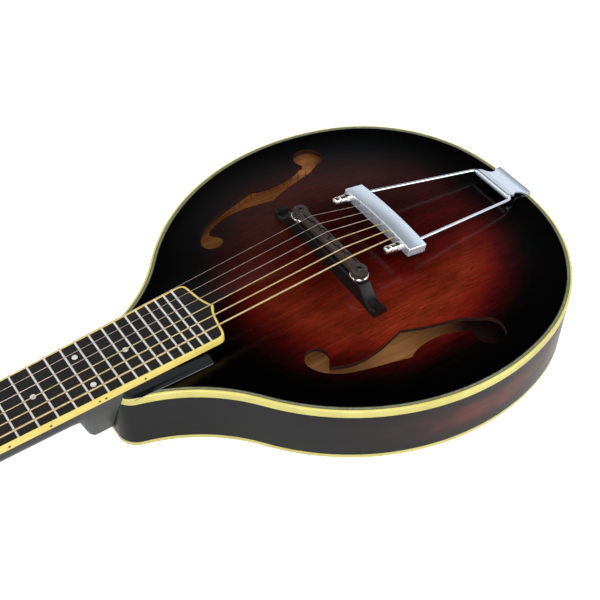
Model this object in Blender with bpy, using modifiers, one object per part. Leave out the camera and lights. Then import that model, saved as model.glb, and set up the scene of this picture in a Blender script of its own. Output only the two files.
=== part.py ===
# Six-string mando guitar: an arched top with two f-holes on a flat-backed teardrop body, a bound
# fretboard on a raised extension, a bridge on two thumbwheels, a hinged trapeze tailpiece and
# open-gear tuners.
# Metres. +X runs from the headstock to the tail, -Y is the bass side, +Z comes out of the top.
# The origin lies on the back's outer face, on the centre line, under the nominal bridge line.

import math

import bmesh
import bpy
from mathutils import Matrix, Vector

MM = 0.001
GAP = 0.3 * MM            # clearance wherever two pieces meet

# Strings and neck
SCALE_LENGTH = 360 * MM
FRET_COUNT = 21
NECK_TILT = math.radians(3.27)
BOARD_HEIGHT = 71.0 * MM          # fretboard top plane over the back, at the nominal bridge line
BOARD_THICKNESS = 5.0 * MM
NUT_WIDTH = 43.0 * MM
BOARD_END_WIDTH = 55.8 * MM
BOARD_PAST_FRET = 4.53 * MM       # last fret to where the board's sides start to round in
BOARD_END_REACH = 12.5 * MM       # from there to the point of the board's end
BOARD_BINDING = 1.6 * MM
FRET_WIDTH = 2.2 * MM
FRET_CROWN = 1.0 * MM
FRET_TANG = 0.6 * MM
NUT_THICKNESS = 4.5 * MM
NUT_STRING_HEIGHT = 2.4 * MM      # string centres over the board at the nut
NUT_STRING_SPREAD = 36.0 * MM
SADDLE_STRING_SPREAD = 48.7 * MM
STRING_TURNS = 2                  # windings on each post
STRING_DIAMETERS = [d * MM for d in (0.28, 0.36, 0.50, 0.71, 0.97, 1.24)]

# Body
RIM_HEIGHT = 49.0 * MM            # back's outer face to the top edge of the binding
TAIL_X = 176.7 * MM
TAIL_RADIUS = 243.5 * MM
HIP_RADIUS = 122.5 * MM
SHOULDER_RADIUS = 171.3 * MM
WAIST_RADIUS = 126.3 * MM
FRONT_RADIUS = 15.0 * MM
TAIL_TURN = math.radians(8)       # outward directions, from +X, where one arc meets the next
HIP_TURN = math.radians(71)
SHOULDER_TURN = math.radians(142.7)
WAIST_TURN = math.radians(105.8)
OUTLINE_STEP = math.radians(8)
ARCH_CENTRE_X = 10 * MM
ARCH_RISE = 10 * MM
TOP_THICKNESS = 4.0 * MM
TOP_LAND = 12 * MM                # width of the flat glue face under the top's edge
BINDING_WIDTH = 1.6 * MM
BINDING_HEIGHT = 6.0 * MM
PURFLING_WIDTH = 2.0 * MM
PURFLING_DEPTH = 2.0 * MM
BACK_THICKNESS = 3.5 * MM
SIDE_THICKNESS = 2.5 * MM
LINING_WIDTH = 5.0 * MM
LINING_HEIGHT = 9.0 * MM
HEAD_BLOCK_LENGTH = 38 * MM
TAIL_BLOCK_LENGTH = 18 * MM
TAIL_BLOCK_WIDTH = 70 * MM
BAR_OFFSET = 24 * MM              # tone bars, off the centre line
BAR_WIDTH = 6 * MM
BAR_DEPTH = 9 * MM
BAR_START_X = -95 * MM
BAR_END_X = 115 * MM

# Riser under the fretboard's extension
RISER_START = 4 * MM              # behind the body's front
RISER_SETBACK = 9.5 * MM          # from where the board's sides round in
RISER_SLOPE = 3 * MM
RISER_FLARE = 3.5 * MM
RISER_INSET = 1 * MM

# Neck wood and headstock
NECK_DEPTH_NUT = 15.0 * MM
NECK_DEPTH_BODY = 17.5 * MM
HEEL_DEPTH = 51.5 * MM
HEEL_LENGTH = 34.0 * MM
HEEL_CAP_SHARE = 0.31            # width left at the heel's foot
TENON_WIDTH = 20 * MM
TENON_LENGTH = 24 * MM
TENON_FLOOR = 8 * MM
HEAD_TILT = math.radians(8)
HEAD_LENGTH = 142 * MM
HEAD_THICKNESS = 12.5 * MM
VENEER_THICKNESS = 1.5 * MM
HEAD_WIDE = 68 * MM
HEAD_TOP_WIDTH = 56 * MM
TRUSS_CHANNEL_WIDTH = 6.6 * MM
TRUSS_CHANNEL_DEPTH = 9 * MM
TRUSS_ROD_RADIUS = 2.6 * MM
COVER_THICKNESS = 1.6 * MM

# Tuners, in the headstock's frame
POST_PITCH = 38 * MM
LAST_POST = 30 * MM               # from the headstock's end
POST_X = [LAST_POST + k * POST_PITCH - HEAD_LENGTH for k in (2, 1, 0)]
POST_Y = 22 * MM
POST_RADIUS = 3.0 * MM
POST_HEIGHT = 11.5 * MM
POST_WAIST_RADIUS = 2.6 * MM
WAIST_LOW = 2.5 * MM
WAIST_TOP = 10.3 * MM
PLATE_THICKNESS = 1.2 * MM
PLATE_WIDTH = 15.5 * MM
PLATE_OVERHANG = 12 * MM
GEAR_TEETH = 14
GEAR_RADIUS = 5.4 * MM            # pitch radius
GEAR_THICKNESS = 2.0 * MM
WORM_RADIUS = 2.15 * MM           # pitch radius
WORM_LENGTH = 5.2 * MM
TOOTH_ADDENDUM = 0.55 * MM
TOOTH_CLEARANCE = 0.35 * MM
EAR_SPACING = 11.6 * MM
EAR_THICKNESS = 1.4 * MM
SHAFT_RADIUS = 1.2 * MM
KEY_REACH = 21 * MM               # post axis to the button
BUTTON_SIZE = (15 * MM, 14 * MM, 7 * MM)

# Bridge
FIT_STOCK = 1.0 * MM              # wood left under a foot before it is fitted to the arch
POST_SPACING = 70.6 * MM
BRIDGE_X = 2.9 * MM
BASE_LENGTH = 120 * MM
BASE_WIDTH = 11 * MM
BASE_TOP = 69.3 * MM
BASE_BLOCK = 84 * MM              # length of the raised middle of the base
BASE_END_HEIGHT = 3.2 * MM
BRIDGE_POST_RADIUS = 2.0 * MM
BRIDGE_POST_TOP = 78.6 * MM
WHEEL_RADIUS = 6.6 * MM
WHEEL_THICKNESS = 2.2 * MM
WHEEL_RISE = 1.7 * MM             # base top to the wheel's underside
SADDLE_WIDTH = 8 * MM
SADDLE_END_RADIUS = 5.5 * MM
SADDLE_HEIGHT = 5.6 * MM

# Tailpiece
HINGE_X = 154.5 * MM
HINGE_Z = 55.6 * MM
TRAPEZE_TILT = math.radians(9.5)
ROD_RADIUS = 1.25 * MM
ROD_BEND_Y = 20 * MM
ROD_FRONT_Y = 30 * MM
TUBE_RADIUS = 2.4 * MM
TUBE_LENGTH = 35 * MM
TRAPEZE_LENGTH = 113 * MM         # hinge axis to the bar's front face
BAR_DEPTH_X = 15.5 * MM
BAR_LENGTH = 76 * MM
BAR_CROWN = 2.0 * MM
BAR_WALL = 1.4 * MM
BAR_TOP = 4.0 * MM                # rod axis to the crown of the bar
BAR_SKIRT = 8.2 * MM              # crown to the lower edge
TAIL_STRING_SPREAD = 40 * MM
HEX_NUT_SIZE = 6.4 * MM
HEX_NUT_LENGTH = 6.0 * MM
CAP_NUT_LENGTH = 9.5 * MM
BRACKET_WIDTH = 34.4 * MM
BRACKET_THICKNESS = 1.2 * MM
BRACKET_FOOT = 12 * MM            # height of the bracket's lower edge over the back
BRACKET_NOTCH = 7.5 * MM
PIN_HEIGHT = 24 * MM
PIN_RADIUS = 6 * MM
PIN_LENGTH = 14 * MM
PIN_SHANK = 3.4 * MM
SCREW_RADIUS = 1.3 * MM
SCREW_HEAD = 3.2 * MM

COLOURS = {
    "stained_top": ((0.16, 0.035, 0.018), 0.22, 0.0),
    "stained_side": ((0.06, 0.016, 0.012), 0.25, 0.0),
    "bare_wood": ((0.56, 0.37, 0.20), 0.6, 0.0),
    "cream": ((0.84, 0.72, 0.38), 0.35, 0.0),
    "purfling": ((0.20, 0.21, 0.15), 0.4, 0.0),
    "black_lacquer": ((0.012, 0.012, 0.012), 0.2, 0.0),
    "ebony": ((0.02, 0.018, 0.017), 0.4, 0.0),
    "rosewood": ((0.055, 0.043, 0.036), 0.5, 0.0),
    "pearl": ((0.82, 0.82, 0.78), 0.25, 0.0),
    "bone": ((0.85, 0.80, 0.68), 0.4, 0.0),
    "nickel": ((0.75, 0.74, 0.70), 0.22, 1.0),
    "chrome": ((0.80, 0.82, 0.85), 0.08, 1.0),
    "steel": ((0.55, 0.55, 0.56), 0.3, 1.0),
    "plain_string": ((0.72, 0.72, 0.72), 0.25, 1.0),
    "wound_string": ((0.62, 0.45, 0.24), 0.35, 1.0),
}


# Scene set-up and helpers

for old in list(bpy.data.objects):
    bpy.data.objects.remove(old)

parts = bpy.data.collections.new("mando_guitar")
cutters = bpy.data.collections.new("cutters")
bpy.context.scene.collection.children.link(parts)
bpy.context.scene.collection.children.link(cutters)


def material(slot):
    found = bpy.data.materials.get(slot)
    if found:
        return found
    colour, roughness, metallic = COLOURS[slot]
    made = bpy.data.materials.new(slot)
    made.use_nodes = True
    shader = made.node_tree.nodes["Principled BSDF"]
    shader.inputs["Base Color"].default_value = (*colour, 1)
    shader.inputs["Roughness"].default_value = roughness
    shader.inputs["Metallic"].default_value = metallic
    return made


def frame(name, location, rotation=(0, 0, 0), parent=None):
    """An empty that carries pieces."""
    empty = bpy.data.objects.new(name, None)
    empty.location = location
    empty.rotation_euler = rotation
    empty.parent = parent
    parts.objects.link(empty)
    return empty


def put(name, mesh, slot, parent=None, location=(0, 0, 0), rotation=(0, 0, 0)):
    """A finished piece from a mesh."""
    piece = bpy.data.objects.new(name, mesh)
    piece.location = location
    piece.rotation_euler = rotation
    piece.parent = parent
    mesh.materials.clear()
    mesh.materials.append(material(slot))
    parts.objects.link(piece)
    return piece


def cutter(mesh, parent=None, location=(0, 0, 0), rotation=(0, 0, 0)):
    piece = bpy.data.objects.new("cutter", mesh)
    piece.location = location
    piece.rotation_euler = rotation
    piece.parent = parent
    piece.hide_render = True
    piece.display_type = "WIRE"
    cutters.objects.link(piece)
    return piece


def boolean(piece, other, operation="DIFFERENCE"):
    step = piece.modifiers.new(operation.lower(), "BOOLEAN")
    step.operation = operation
    step.solver = "EXACT"
    step.object = other


def baked(piece):
    """The piece's evaluated mesh, in its own frame."""
    bpy.context.view_layer.update()
    depsgraph = bpy.context.evaluated_depsgraph_get()
    return bpy.data.meshes.new_from_object(piece.evaluated_get(depsgraph))


def mesh_from(bm, name="shape"):
    bmesh.ops.recalc_face_normals(bm, faces=bm.faces[:])
    mesh = bpy.data.meshes.new(name)
    bm.to_mesh(mesh)
    bm.free()
    return mesh


def box(low, high):
    bm = bmesh.new()
    size = [h - l for l, h in zip(low, high)]
    middle = [(h + l) / 2 for l, h in zip(low, high)]
    place = Matrix.Translation(middle) @ Matrix.Diagonal((*size, 1))
    bmesh.ops.create_cube(bm, size=1, matrix=place)
    return mesh_from(bm)


def rod(start, end, radius, sides=12, radius_end=None):
    """A cylinder or cone between two points."""
    start, end = Vector(start), Vector(end)
    along = end - start
    turn = along.to_track_quat("Z", "Y").to_matrix().to_4x4()
    bm = bmesh.new()
    bmesh.ops.create_cone(
        bm, cap_ends=True, segments=sides, radius1=radius,
        radius2=radius if radius_end is None else radius_end,
        depth=along.length, matrix=Matrix.Translation((start + end) / 2) @ turn)
    return mesh_from(bm)


def joined(meshes):
    """Separate bodies in one mesh."""
    bm = bmesh.new()
    for mesh in meshes:
        bm.from_mesh(mesh)
    return mesh_from(bm)


def plate(loops, low, high):
    """A flat piece between two heights: the outer loop, then any holes."""
    curve = bpy.data.curves.new("plate", "CURVE")
    curve.dimensions = "2D"
    curve.fill_mode = "BOTH"
    curve.extrude = (high - low) / 2
    for loop in loops:
        spline = curve.splines.new("POLY")
        spline.points.add(len(loop) - 1)
        for point, (x, y) in zip(spline.points, loop):
            point.co = (x, y, 0, 1)
        spline.use_cyclic_u = True
    holder = bpy.data.objects.new("plate", curve)
    cutters.objects.link(holder)
    mesh = baked(holder)
    bpy.data.objects.remove(holder)
    bm = bmesh.new()
    bm.from_mesh(mesh)
    bmesh.ops.remove_doubles(bm, verts=bm.verts[:], dist=0.001 * MM)
    bmesh.ops.translate(bm, verts=bm.verts[:], vec=(0, 0, (low + high) / 2))
    return mesh_from(bm)


def circle(x, y, radius, sides=12):
    """Points round a circle. Equal circles in a row start at unlike angles, so none line up."""
    first = 37 * x + 11 * y
    steps = [first + 2 * math.pi * i / sides for i in range(sides)]
    return [(x + radius * math.cos(a), y + radius * math.sin(a)) for a in steps]


def loft(sections):
    """A solid through sections that have the same number of points."""
    bm = bmesh.new()
    rings = [[bm.verts.new(point) for point in section] for section in sections]
    for ring, following in zip(rings, rings[1:]):
        for i in range(len(ring)):
            j = (i + 1) % len(ring)
            bm.faces.new((ring[i], ring[j], following[j], following[i]))
    bmesh.ops.triangulate(bm, faces=bm.faces[:])
    caps = [bm.faces.new(end) for end in (rings[0], rings[-1])]
    bmesh.ops.poke(bm, faces=caps)
    return mesh_from(bm)


def turned(profile, sides=16):
    """A solid of revolution about Z. The profile runs down its outer side, (radius, height)."""
    bm = bmesh.new()
    points = [bm.verts.new((radius, 0, height)) for radius, height in profile]
    for a, b in zip(points, points[1:]):
        bm.edges.new((a, b))
    if profile[0][0] > 0:
        bm.edges.new((points[-1], points[0]))
    mesh = bpy.data.meshes.new("profile")
    bm.to_mesh(mesh)
    bm.free()
    holder = bpy.data.objects.new("turned", mesh)
    cutters.objects.link(holder)
    screw = holder.modifiers.new("turn", "SCREW")
    screw.steps = sides
    screw.render_steps = sides
    screw.use_merge_vertices = True
    screw.merge_threshold = 0.001 * MM
    screw.use_normal_calculate = True
    made = baked(holder)
    bpy.data.objects.remove(holder)
    bm = bmesh.new()
    bm.from_mesh(made)
    return mesh_from(bm)


def tube(points, radius, resolution=2):
    """A wire along a list of points, as a curve with a bevel."""
    curve = bpy.data.curves.new("wire", "CURVE")
    curve.dimensions = "3D"
    curve.bevel_depth = radius
    curve.bevel_resolution = resolution
    curve.use_fill_caps = True
    spline = curve.splines.new("POLY")
    spline.points.add(len(points) - 1)
    for point, place in zip(spline.points, points):
        point.co = (*place, 1)
    return curve


def smooth_path(points, steps):
    """Points on a smooth curve through the given points."""
    padded = [points[0], *points, points[-1]]
    path = []
    for before, start, end, after in zip(padded, padded[1:], padded[2:], padded[3:]):
        for i in range(steps):
            t = i / steps
            path.append(tuple(
                0.5 * (2 * b + (c - a) * t + (2 * a - 5 * b + 4 * c - d) * t ** 2
                       + (3 * b - a - 3 * c + d) * t ** 3)
                for a, b, c, d in zip(before, start, end, after)))
    return path + [tuple(points[-1])]


def inset_loop(loop, distance):
    """A closed loop moved inward, to the left of its direction of travel."""
    moved = []
    for i in range(len(loop)):
        before, here, after = (Vector(loop[i - 1]), Vector(loop[i]),
                               Vector(loop[(i + 1) % len(loop)]))
        first = (here - before).normalized()
        second = (after - here).normalized()
        side = Vector((-first.y - second.y, first.x + second.x)).normalized()
        reach = distance / max(0.3, side.dot(Vector((-first.y, first.x))))
        moved.append(tuple(here + side * reach))
    return moved


# Body outline and arch

def half_outline(inset=0.0):
    """The treble half of the outline, from the tail's middle round to the front."""
    arcs = (
        (TAIL_RADIUS, 0.0, TAIL_TURN, 1),
        (HIP_RADIUS, TAIL_TURN, HIP_TURN, 1),
        (SHOULDER_RADIUS, HIP_TURN, SHOULDER_TURN, 1),
        (WAIST_RADIUS, SHOULDER_TURN, WAIST_TURN, -1),
        (FRONT_RADIUS, WAIST_TURN, math.pi, 1),
    )
    joint = Vector((TAIL_X, 0))
    points = [joint - Vector((inset, 0))]
    for radius, start, end, bulge in arcs:
        centre = joint - bulge * radius * Vector((math.cos(start), math.sin(start)))
        steps = max(1, math.ceil(abs(end - start) / OUTLINE_STEP))
        if radius == FRONT_RADIUS:
            steps = 4
        for i in range(1, steps + 1):
            angle = start + (end - start) * i / steps
            outward = Vector((math.cos(angle), math.sin(angle)))
            points.append(centre + (bulge * radius - inset) * outward)
        joint = centre + bulge * radius * Vector((math.cos(end), math.sin(end)))
    return [tuple(point) for point in points]


def outline(inset=0.0):
    """The whole outline, counter-clockwise from the tail's middle."""
    half = half_outline(inset)
    return half + [(x, -y) for x, y in reversed(half[1:])]


def clipped(half, low, high):
    """The part of a half outline between two values of x."""
    kept = []
    for (ax, ay), (bx, by) in zip(half, half[1:]):
        if low <= ax <= high:
            kept.append((ax, ay))
        for limit in (high, low):
            if (ax - limit) * (bx - limit) < 0:
                share = (limit - ax) / (bx - ax)
                kept.append((limit, ay + (by - ay) * share))
    if low <= half[-1][0] <= high:
        kept.append(half[-1])
    return kept


def mirrored(points):
    return [(x, -y) for x, y in reversed(points)]


FRONT_X = half_outline()[-1][0]
NECK_EYE_SWEEP = (190, -50)       # degrees round each eye of the f-hole
TAIL_EYE_SWEEP = (75, -215)
TOP_EDGE = BINDING_WIDTH + GAP                       # inset of the top's edge
ARCH_EDGE = TOP_EDGE + PURFLING_WIDTH + GAP          # inset where the arch starts
ARCH_OUTLINE = outline(ARCH_EDGE)
TOP_UNDERSIDE = RIM_HEIGHT - BINDING_HEIGHT


def rim_share(x, y):
    """0 at the crest, 1 where the arch meets the purfling."""
    away = Vector((x - ARCH_CENTRE_X, y))
    if away.length < 0.001 * MM:
        return 0.0
    for (ax, ay), (bx, by) in zip(ARCH_OUTLINE, ARCH_OUTLINE[1:] + ARCH_OUTLINE[:1]):
        a = Vector((ax - ARCH_CENTRE_X, ay))
        edge = Vector((bx - ax, by - ay))
        base = away.x * edge.y - away.y * edge.x
        if abs(base) < 1e-12:
            continue
        reach = (a.x * edge.y - a.y * edge.x) / base
        along = (a.x * away.y - a.y * away.x) / base
        if reach > 0 and -1e-6 <= along <= 1 + 1e-6:
            return min(1.0, 1 / reach)
    return 1.0


def arch_height(x, y):
    """Height of the top's outer face over the back."""
    return RIM_HEIGHT + ARCH_RISE * (1 - rim_share(x, y) ** 2) ** 2


def scaled_ring(loop, share):
    return [(ARCH_CENTRE_X + (x - ARCH_CENTRE_X) * share, y * share) for x, y in loop]


# Frames

SIDES = (("bass", -1), ("treble", 1))
neck_frame = frame("neck_frame", (0, 0, BOARD_HEIGHT), (0, -NECK_TILT, 0))
head_frame = frame("head_frame", (-SCALE_LENGTH - NUT_THICKNESS, 0, -BOARD_THICKNESS),
                   (0, -HEAD_TILT, 0), neck_frame)
NECK = Matrix.Translation((0, 0, BOARD_HEIGHT)) @ Matrix.Rotation(-NECK_TILT, 4, "Y")
HEAD = NECK @ Matrix.Translation((-SCALE_LENGTH - NUT_THICKNESS, 0, -BOARD_THICKNESS)) \
    @ Matrix.Rotation(-HEAD_TILT, 4, "Y")


# Top, back and sides

def f_hole_loop():
    """The bass f-hole in plan."""
    neck_eye = (-52.3 * MM, -66.5 * MM, 8.2 * MM)
    tail_eye = (58.8 * MM, -108.5 * MM, 11.4 * MM)
    inner = [(-49.0, -76.2), (-38.5, -81.2), (-27, -83.2), (-14.3, -82.5), (-4.5, -80.6),
             (7.0, -77.8)]
    inner_tail = [(7.0, -77.8), (22, -83.4), (36, -87.0), (50, -91.2), (60.5, -97.1)]
    outer_tail = [(47.6, -102.0), (37.4, -97.4), (25, -94.9), (13.6, -94.9), (6.8, -96.2),
                  (0.3, -99.1)]
    outer = [(0.3, -99.1), (-5.5, -97.5), (-13.3, -95.2), (-22.5, -93.0), (-33.5, -89.8),
             (-46, -84.6), (-55.5, -77.0), (-60.0, -69.5)]

    def edge(points):
        return smooth_path([(x * MM, y * MM) for x, y in points], 2)

    def eye(x, y, radius, start, end, steps):
        angles = [math.radians(start + (end - start) * i / steps) for i in range(steps + 1)]
        return [(x + radius * math.cos(a), y + radius * math.sin(a)) for a in angles]

    return (edge(inner)[:-1] + edge(inner_tail)[:-1] + eye(*tail_eye, *TAIL_EYE_SWEEP, 9)
            + edge(outer_tail)[:-1] + edge(outer)[:-1] + eye(*neck_eye, *NECK_EYE_SWEEP, 8))


def make_top():
    land = outline(TOP_LAND)
    rings = []
    for share in (0.2, 0.65):
        ring = scaled_ring(land, share)
        rings.append([(x, y, arch_height(x, y) - TOP_THICKNESS) for x, y in ring])
    rings.append([(x, y, TOP_UNDERSIDE) for x, y in land])
    shelf = RIM_HEIGHT - PURFLING_DEPTH - GAP
    for inset, height in ((TOP_EDGE, TOP_UNDERSIDE), (TOP_EDGE, shelf), (ARCH_EDGE, shelf),
                          (ARCH_EDGE, RIM_HEIGHT)):
        rings.append([(x, y, height) for x, y in outline(inset)])
    for share in (0.92, 0.81, 0.68, 0.54, 0.38, 0.2):
        ring = scaled_ring(ARCH_OUTLINE, share)
        rings.append([(x, y, arch_height(x, y)) for x, y in ring])
    piece = put("top_plate", loft(rings), "stained_top")
    raised = cutter(piece.data.copy(), None, (0, 0, GAP))
    holes = [f_hole_loop(), mirrored(f_hole_loop())]
    for loop in holes:
        boolean(piece, cutter(plate([loop], TOP_UNDERSIDE - 8 * MM, RIM_HEIGHT + 20 * MM)))
    return raised


def make_back():
    put("back_plate", plate([outline(TOP_EDGE)], 0, BACK_THICKNESS), "stained_side")
    for name, low, high in (("back_binding", 0, BACK_THICKNESS),
                            ("top_binding", TOP_UNDERSIDE, RIM_HEIGHT)):
        put(name, plate([outline(), mirrored(outline(BINDING_WIDTH))], low, high), "cream")
    strip = plate([outline(TOP_EDGE), mirrored(outline(TOP_EDGE + PURFLING_WIDTH))],
                  RIM_HEIGHT - PURFLING_DEPTH, RIM_HEIGHT)
    put("top_purfling", strip, "purfling")


def make_sides():
    """Two bent sides that meet at the tail and stop either side of the neck's tenon."""
    low = BACK_THICKNESS + GAP
    high = TOP_UNDERSIDE - GAP
    stop = TENON_WIDTH / 2 + GAP
    outer = half_outline()
    inner = half_outline(SIDE_THICKNESS)
    outer[0] = (outer[0][0], GAP / 2)
    inner[0] = (inner[0][0], GAP / 2)
    loop = outer + [(outer[-1][0], stop), (inner[-1][0], stop)] + inner[::-1]
    treble = put("treble_side", plate([loop], low, high), "stained_side")
    bass = put("bass_side", plate([mirrored(loop)], low, high), "stained_side")
    for piece in (treble, bass):
        boolean(piece, tail_holes)


def make_linings():
    start = FRONT_X + SIDE_THICKNESS + HEAD_BLOCK_LENGTH + GAP
    end = TAIL_X - SIDE_THICKNESS - TAIL_BLOCK_LENGTH - GAP
    outer = clipped(half_outline(SIDE_THICKNESS + GAP), start, end)
    inner = clipped(half_outline(SIDE_THICKNESS + GAP + LINING_WIDTH), start, end)
    treble = outer + inner[::-1]
    heights = {"top_lining": TOP_UNDERSIDE - GAP, "back_lining": BACK_THICKNESS + GAP + LINING_HEIGHT}
    for name, high in heights.items():
        for side, loop in (("treble", treble), ("bass", mirrored(treble))):
            put(f"{side}_{name}", plate([loop], high - LINING_HEIGHT, high), "bare_wood")


def make_blocks():
    low = BACK_THICKNESS + GAP
    high = TOP_UNDERSIDE - GAP
    wall = half_outline(SIDE_THICKNESS + GAP)
    edge = FRONT_X + SIDE_THICKNESS + HEAD_BLOCK_LENGTH
    front = clipped(wall, -1, edge)
    mortise = TENON_WIDTH / 2 + GAP
    floor = FRONT_X + TENON_LENGTH + GAP
    notch = [(front[-1][0], mortise), (floor, mortise)]
    loop = front + notch + mirrored(notch) + mirrored(front)
    put("head_block", plate([loop], low, high), "bare_wood")
    edge = TAIL_X - SIDE_THICKNESS - TAIL_BLOCK_LENGTH
    half = TAIL_BLOCK_WIDTH / 2
    across = clipped([(y, x) for x, y in wall if x > edge], 0, half)
    rear = [(x, y) for y, x in across] + [(edge, half)]
    block = put("tail_block", plate([rear + mirrored(rear[1:])], low, high), "bare_wood")
    boolean(block, tail_holes)


def make_tone_bars():
    """Two long braces whose tops follow the inside of the arch."""
    stations = [BAR_START_X + (BAR_END_X - BAR_START_X) * i / 7 for i in range(8)]
    for name, side in (("bass_tone_bar", -1), ("treble_tone_bar", 1)):
        sections = []
        for i, x in enumerate(stations):
            y = side * BAR_OFFSET
            depth = BAR_DEPTH if 0 < i < 7 else BAR_DEPTH / 3
            high = arch_height(x, abs(y) + BAR_WIDTH / 2) - TOP_THICKNESS - 2 * GAP
            sections.append([(x, y - BAR_WIDTH / 2, high), (x, y + BAR_WIDTH / 2, high),
                             (x, y + BAR_WIDTH / 2, high - depth),
                             (x, y - BAR_WIDTH / 2, high - depth)])
        put(name, loft(sections), "bare_wood")


# Neck and fretboard

def fret_x(number):
    return -SCALE_LENGTH * 2 ** (-number / 12)


BOARD_SIDE_X = fret_x(FRET_COUNT) + BOARD_PAST_FRET


def board_half_width(x):
    share = (x + SCALE_LENGTH) / (BOARD_SIDE_X + SCALE_LENGTH)
    return (NUT_WIDTH + (BOARD_END_WIDTH - NUT_WIDTH) * share) / 2


def board_outline():
    """Counter-clockwise, from the nut's bass corner to its treble corner."""
    side = BOARD_SIDE_X
    tip = side + BOARD_END_REACH
    wide = BOARD_END_WIDTH / 2
    reach = BOARD_END_REACH
    shape = [(0.0, 1.0), (0.22, 0.985), (0.38, 0.93), (0.47, 0.83), (0.55, 0.62),
             (0.68, 0.32), (0.86, 0.1)]
    end = [(side + reach * a, -wide * b) for a, b in shape]
    nut = (-SCALE_LENGTH, -NUT_WIDTH / 2)
    bass = [nut] + end
    return bass + [(tip, 0)] + [(x, -y) for x, y in reversed(bass)]


def make_fretboard():
    outer = board_outline()
    inner = inset_loop(outer, BOARD_BINDING)
    inner[0] = (outer[0][0], inner[0][1])
    inner[-1] = (outer[-1][0], inner[-1][1])
    wood = inset_loop(outer, BOARD_BINDING + GAP)
    wood[0] = (outer[0][0], wood[0][1])
    wood[-1] = (outer[-1][0], wood[-1][1])
    board = put("fretboard", plate([wood], -BOARD_THICKNESS, 0), "ebony", neck_frame)
    boolean(board, cutter(joined(fret_wires()), neck_frame), "UNION")
    put("fretboard_binding", plate([outer + inner[::-1]], -BOARD_THICKNESS, 0), "cream", neck_frame)


def fret_wires():
    """Crowned wires that sit in the board and stop inside the binding."""
    half = FRET_WIDTH / 2
    crown = [(-half, -FRET_TANG), (half, -FRET_TANG), (0.45 * half, FRET_CROWN), (-0.45 * half, FRET_CROWN)]
    wires = []
    for number in range(1, FRET_COUNT + 1):
        x = fret_x(number)
        reach = board_half_width(x) - BOARD_BINDING - 2 * GAP
        wires.append(loft([[(x + a, side * reach, b) for a, b in crown] for side in (-1, 1)]))
    return wires


def nut_string_y(number):
    return NUT_STRING_SPREAD * (0.5 - (number - 1) / 5)


def make_nut():
    mesh = box((-SCALE_LENGTH - NUT_THICKNESS + GAP, -NUT_WIDTH / 2, -BOARD_THICKNESS),
               (-SCALE_LENGTH - GAP, NUT_WIDTH / 2, NUT_STRING_HEIGHT))
    put("nut", mesh, "bone", neck_frame)


def neck_section(x, top, half_width, depth, fullness, taper=0.0):
    """A flat top with a rounded back; taper 1 draws the flanks in straight, down to the heel's cap."""
    points = [(x, half_width, top)]
    for i in range(1, 8):
        angle = math.pi * i / 8
        across = math.cos(angle)
        down = math.sin(angle) ** 0.9
        shaft = abs(across) ** fullness
        heel = 1 - (1 - HEEL_CAP_SHARE) * down
        share = 0.0 if i == 4 else shaft + (heel - shaft) * taper
        y = half_width * math.copysign(share, across)
        points.append((x, y, top - 1.5 * MM - (depth - 1.5 * MM) * down))
    points.append((x, -half_width, top))
    return points


def make_neck():
    top = -BOARD_THICKNESS - GAP
    nut_x = -SCALE_LENGTH - NUT_THICKNESS
    body_x = FRONT_X / math.cos(NECK_TILT)
    heel_x = body_x - HEEL_LENGTH
    sections = [neck_section(nut_x - 8 * MM, top - 4.5 * MM, NUT_WIDTH / 2, HEAD_THICKNESS - 3 * MM, 0.8),
                neck_section(nut_x, top, NUT_WIDTH / 2, NECK_DEPTH_NUT, 0.75)]
    for share in (0.1, 0.55, 1.0):
        x = nut_x + (heel_x - nut_x) * share
        depth = NECK_DEPTH_NUT + (NECK_DEPTH_BODY - NECK_DEPTH_NUT) * share
        sections.append(neck_section(x, top, board_half_width(x), depth, 0.75))
    for share, swell, taper in ((0.12, 0.03, 0.05), (0.23, 0.15, 0.25), (0.32, 0.45, 0.6), (0.4, 0.8, 0.85),
                                (0.49, 0.96, 1.0), (0.61, 1.0, 1.0), (1.5, 1.0, 1.0)):
        x = heel_x + HEEL_LENGTH * share
        depth = NECK_DEPTH_BODY + (HEEL_DEPTH - NECK_DEPTH_BODY) * swell
        sections.append(neck_section(x, top, board_half_width(x), depth, 0.75, taper))
    neck = put("neck", loft(sections), "black_lacquer", neck_frame)
    boolean(neck, cutter(plate([outline(-GAP)], -10 * MM, 90 * MM)))
    boolean(neck, cutter(box((FRONT_X - 6 * MM, -TENON_WIDTH / 2, TENON_FLOOR),
                             (FRONT_X + TENON_LENGTH, TENON_WIDTH / 2, TOP_UNDERSIDE - 2 * GAP))),
            "UNION")
    slab = cutter(plate([head_outline()], -VENEER_THICKNESS - GAP - HEAD_THICKNESS,
                        -VENEER_THICKNESS - GAP), head_frame)
    boolean(neck, slab, "UNION")
    face = box((-2 * HEAD_LENGTH, -HEAD_WIDE, -VENEER_THICKNESS - GAP), (0, HEAD_WIDE, HEAD_WIDE))
    boolean(neck, cutter(face, head_frame))
    boolean(neck, cutter(joined([rod((x, side * POST_Y, -30 * MM), (x, side * POST_Y, 5 * MM),
                                     POST_RADIUS + GAP, 8)
                                 for x in POST_X for side in (-1, 1)]), head_frame))
    half = TRUSS_CHANNEL_WIDTH / 2
    channel = box((nut_x - 14 * MM, -half, top - TRUSS_CHANNEL_DEPTH), (heel_x, half, 1 * MM))
    boolean(neck, cutter(channel, neck_frame))
    middle = top - TRUSS_CHANNEL_DEPTH / 2
    put("truss_rod", rod((nut_x - 9 * MM, 0, middle - 1 * MM), (heel_x - 2 * MM, 0, middle - 1 * MM),
                         TRUSS_ROD_RADIUS, 10), "steel", neck_frame)


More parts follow.
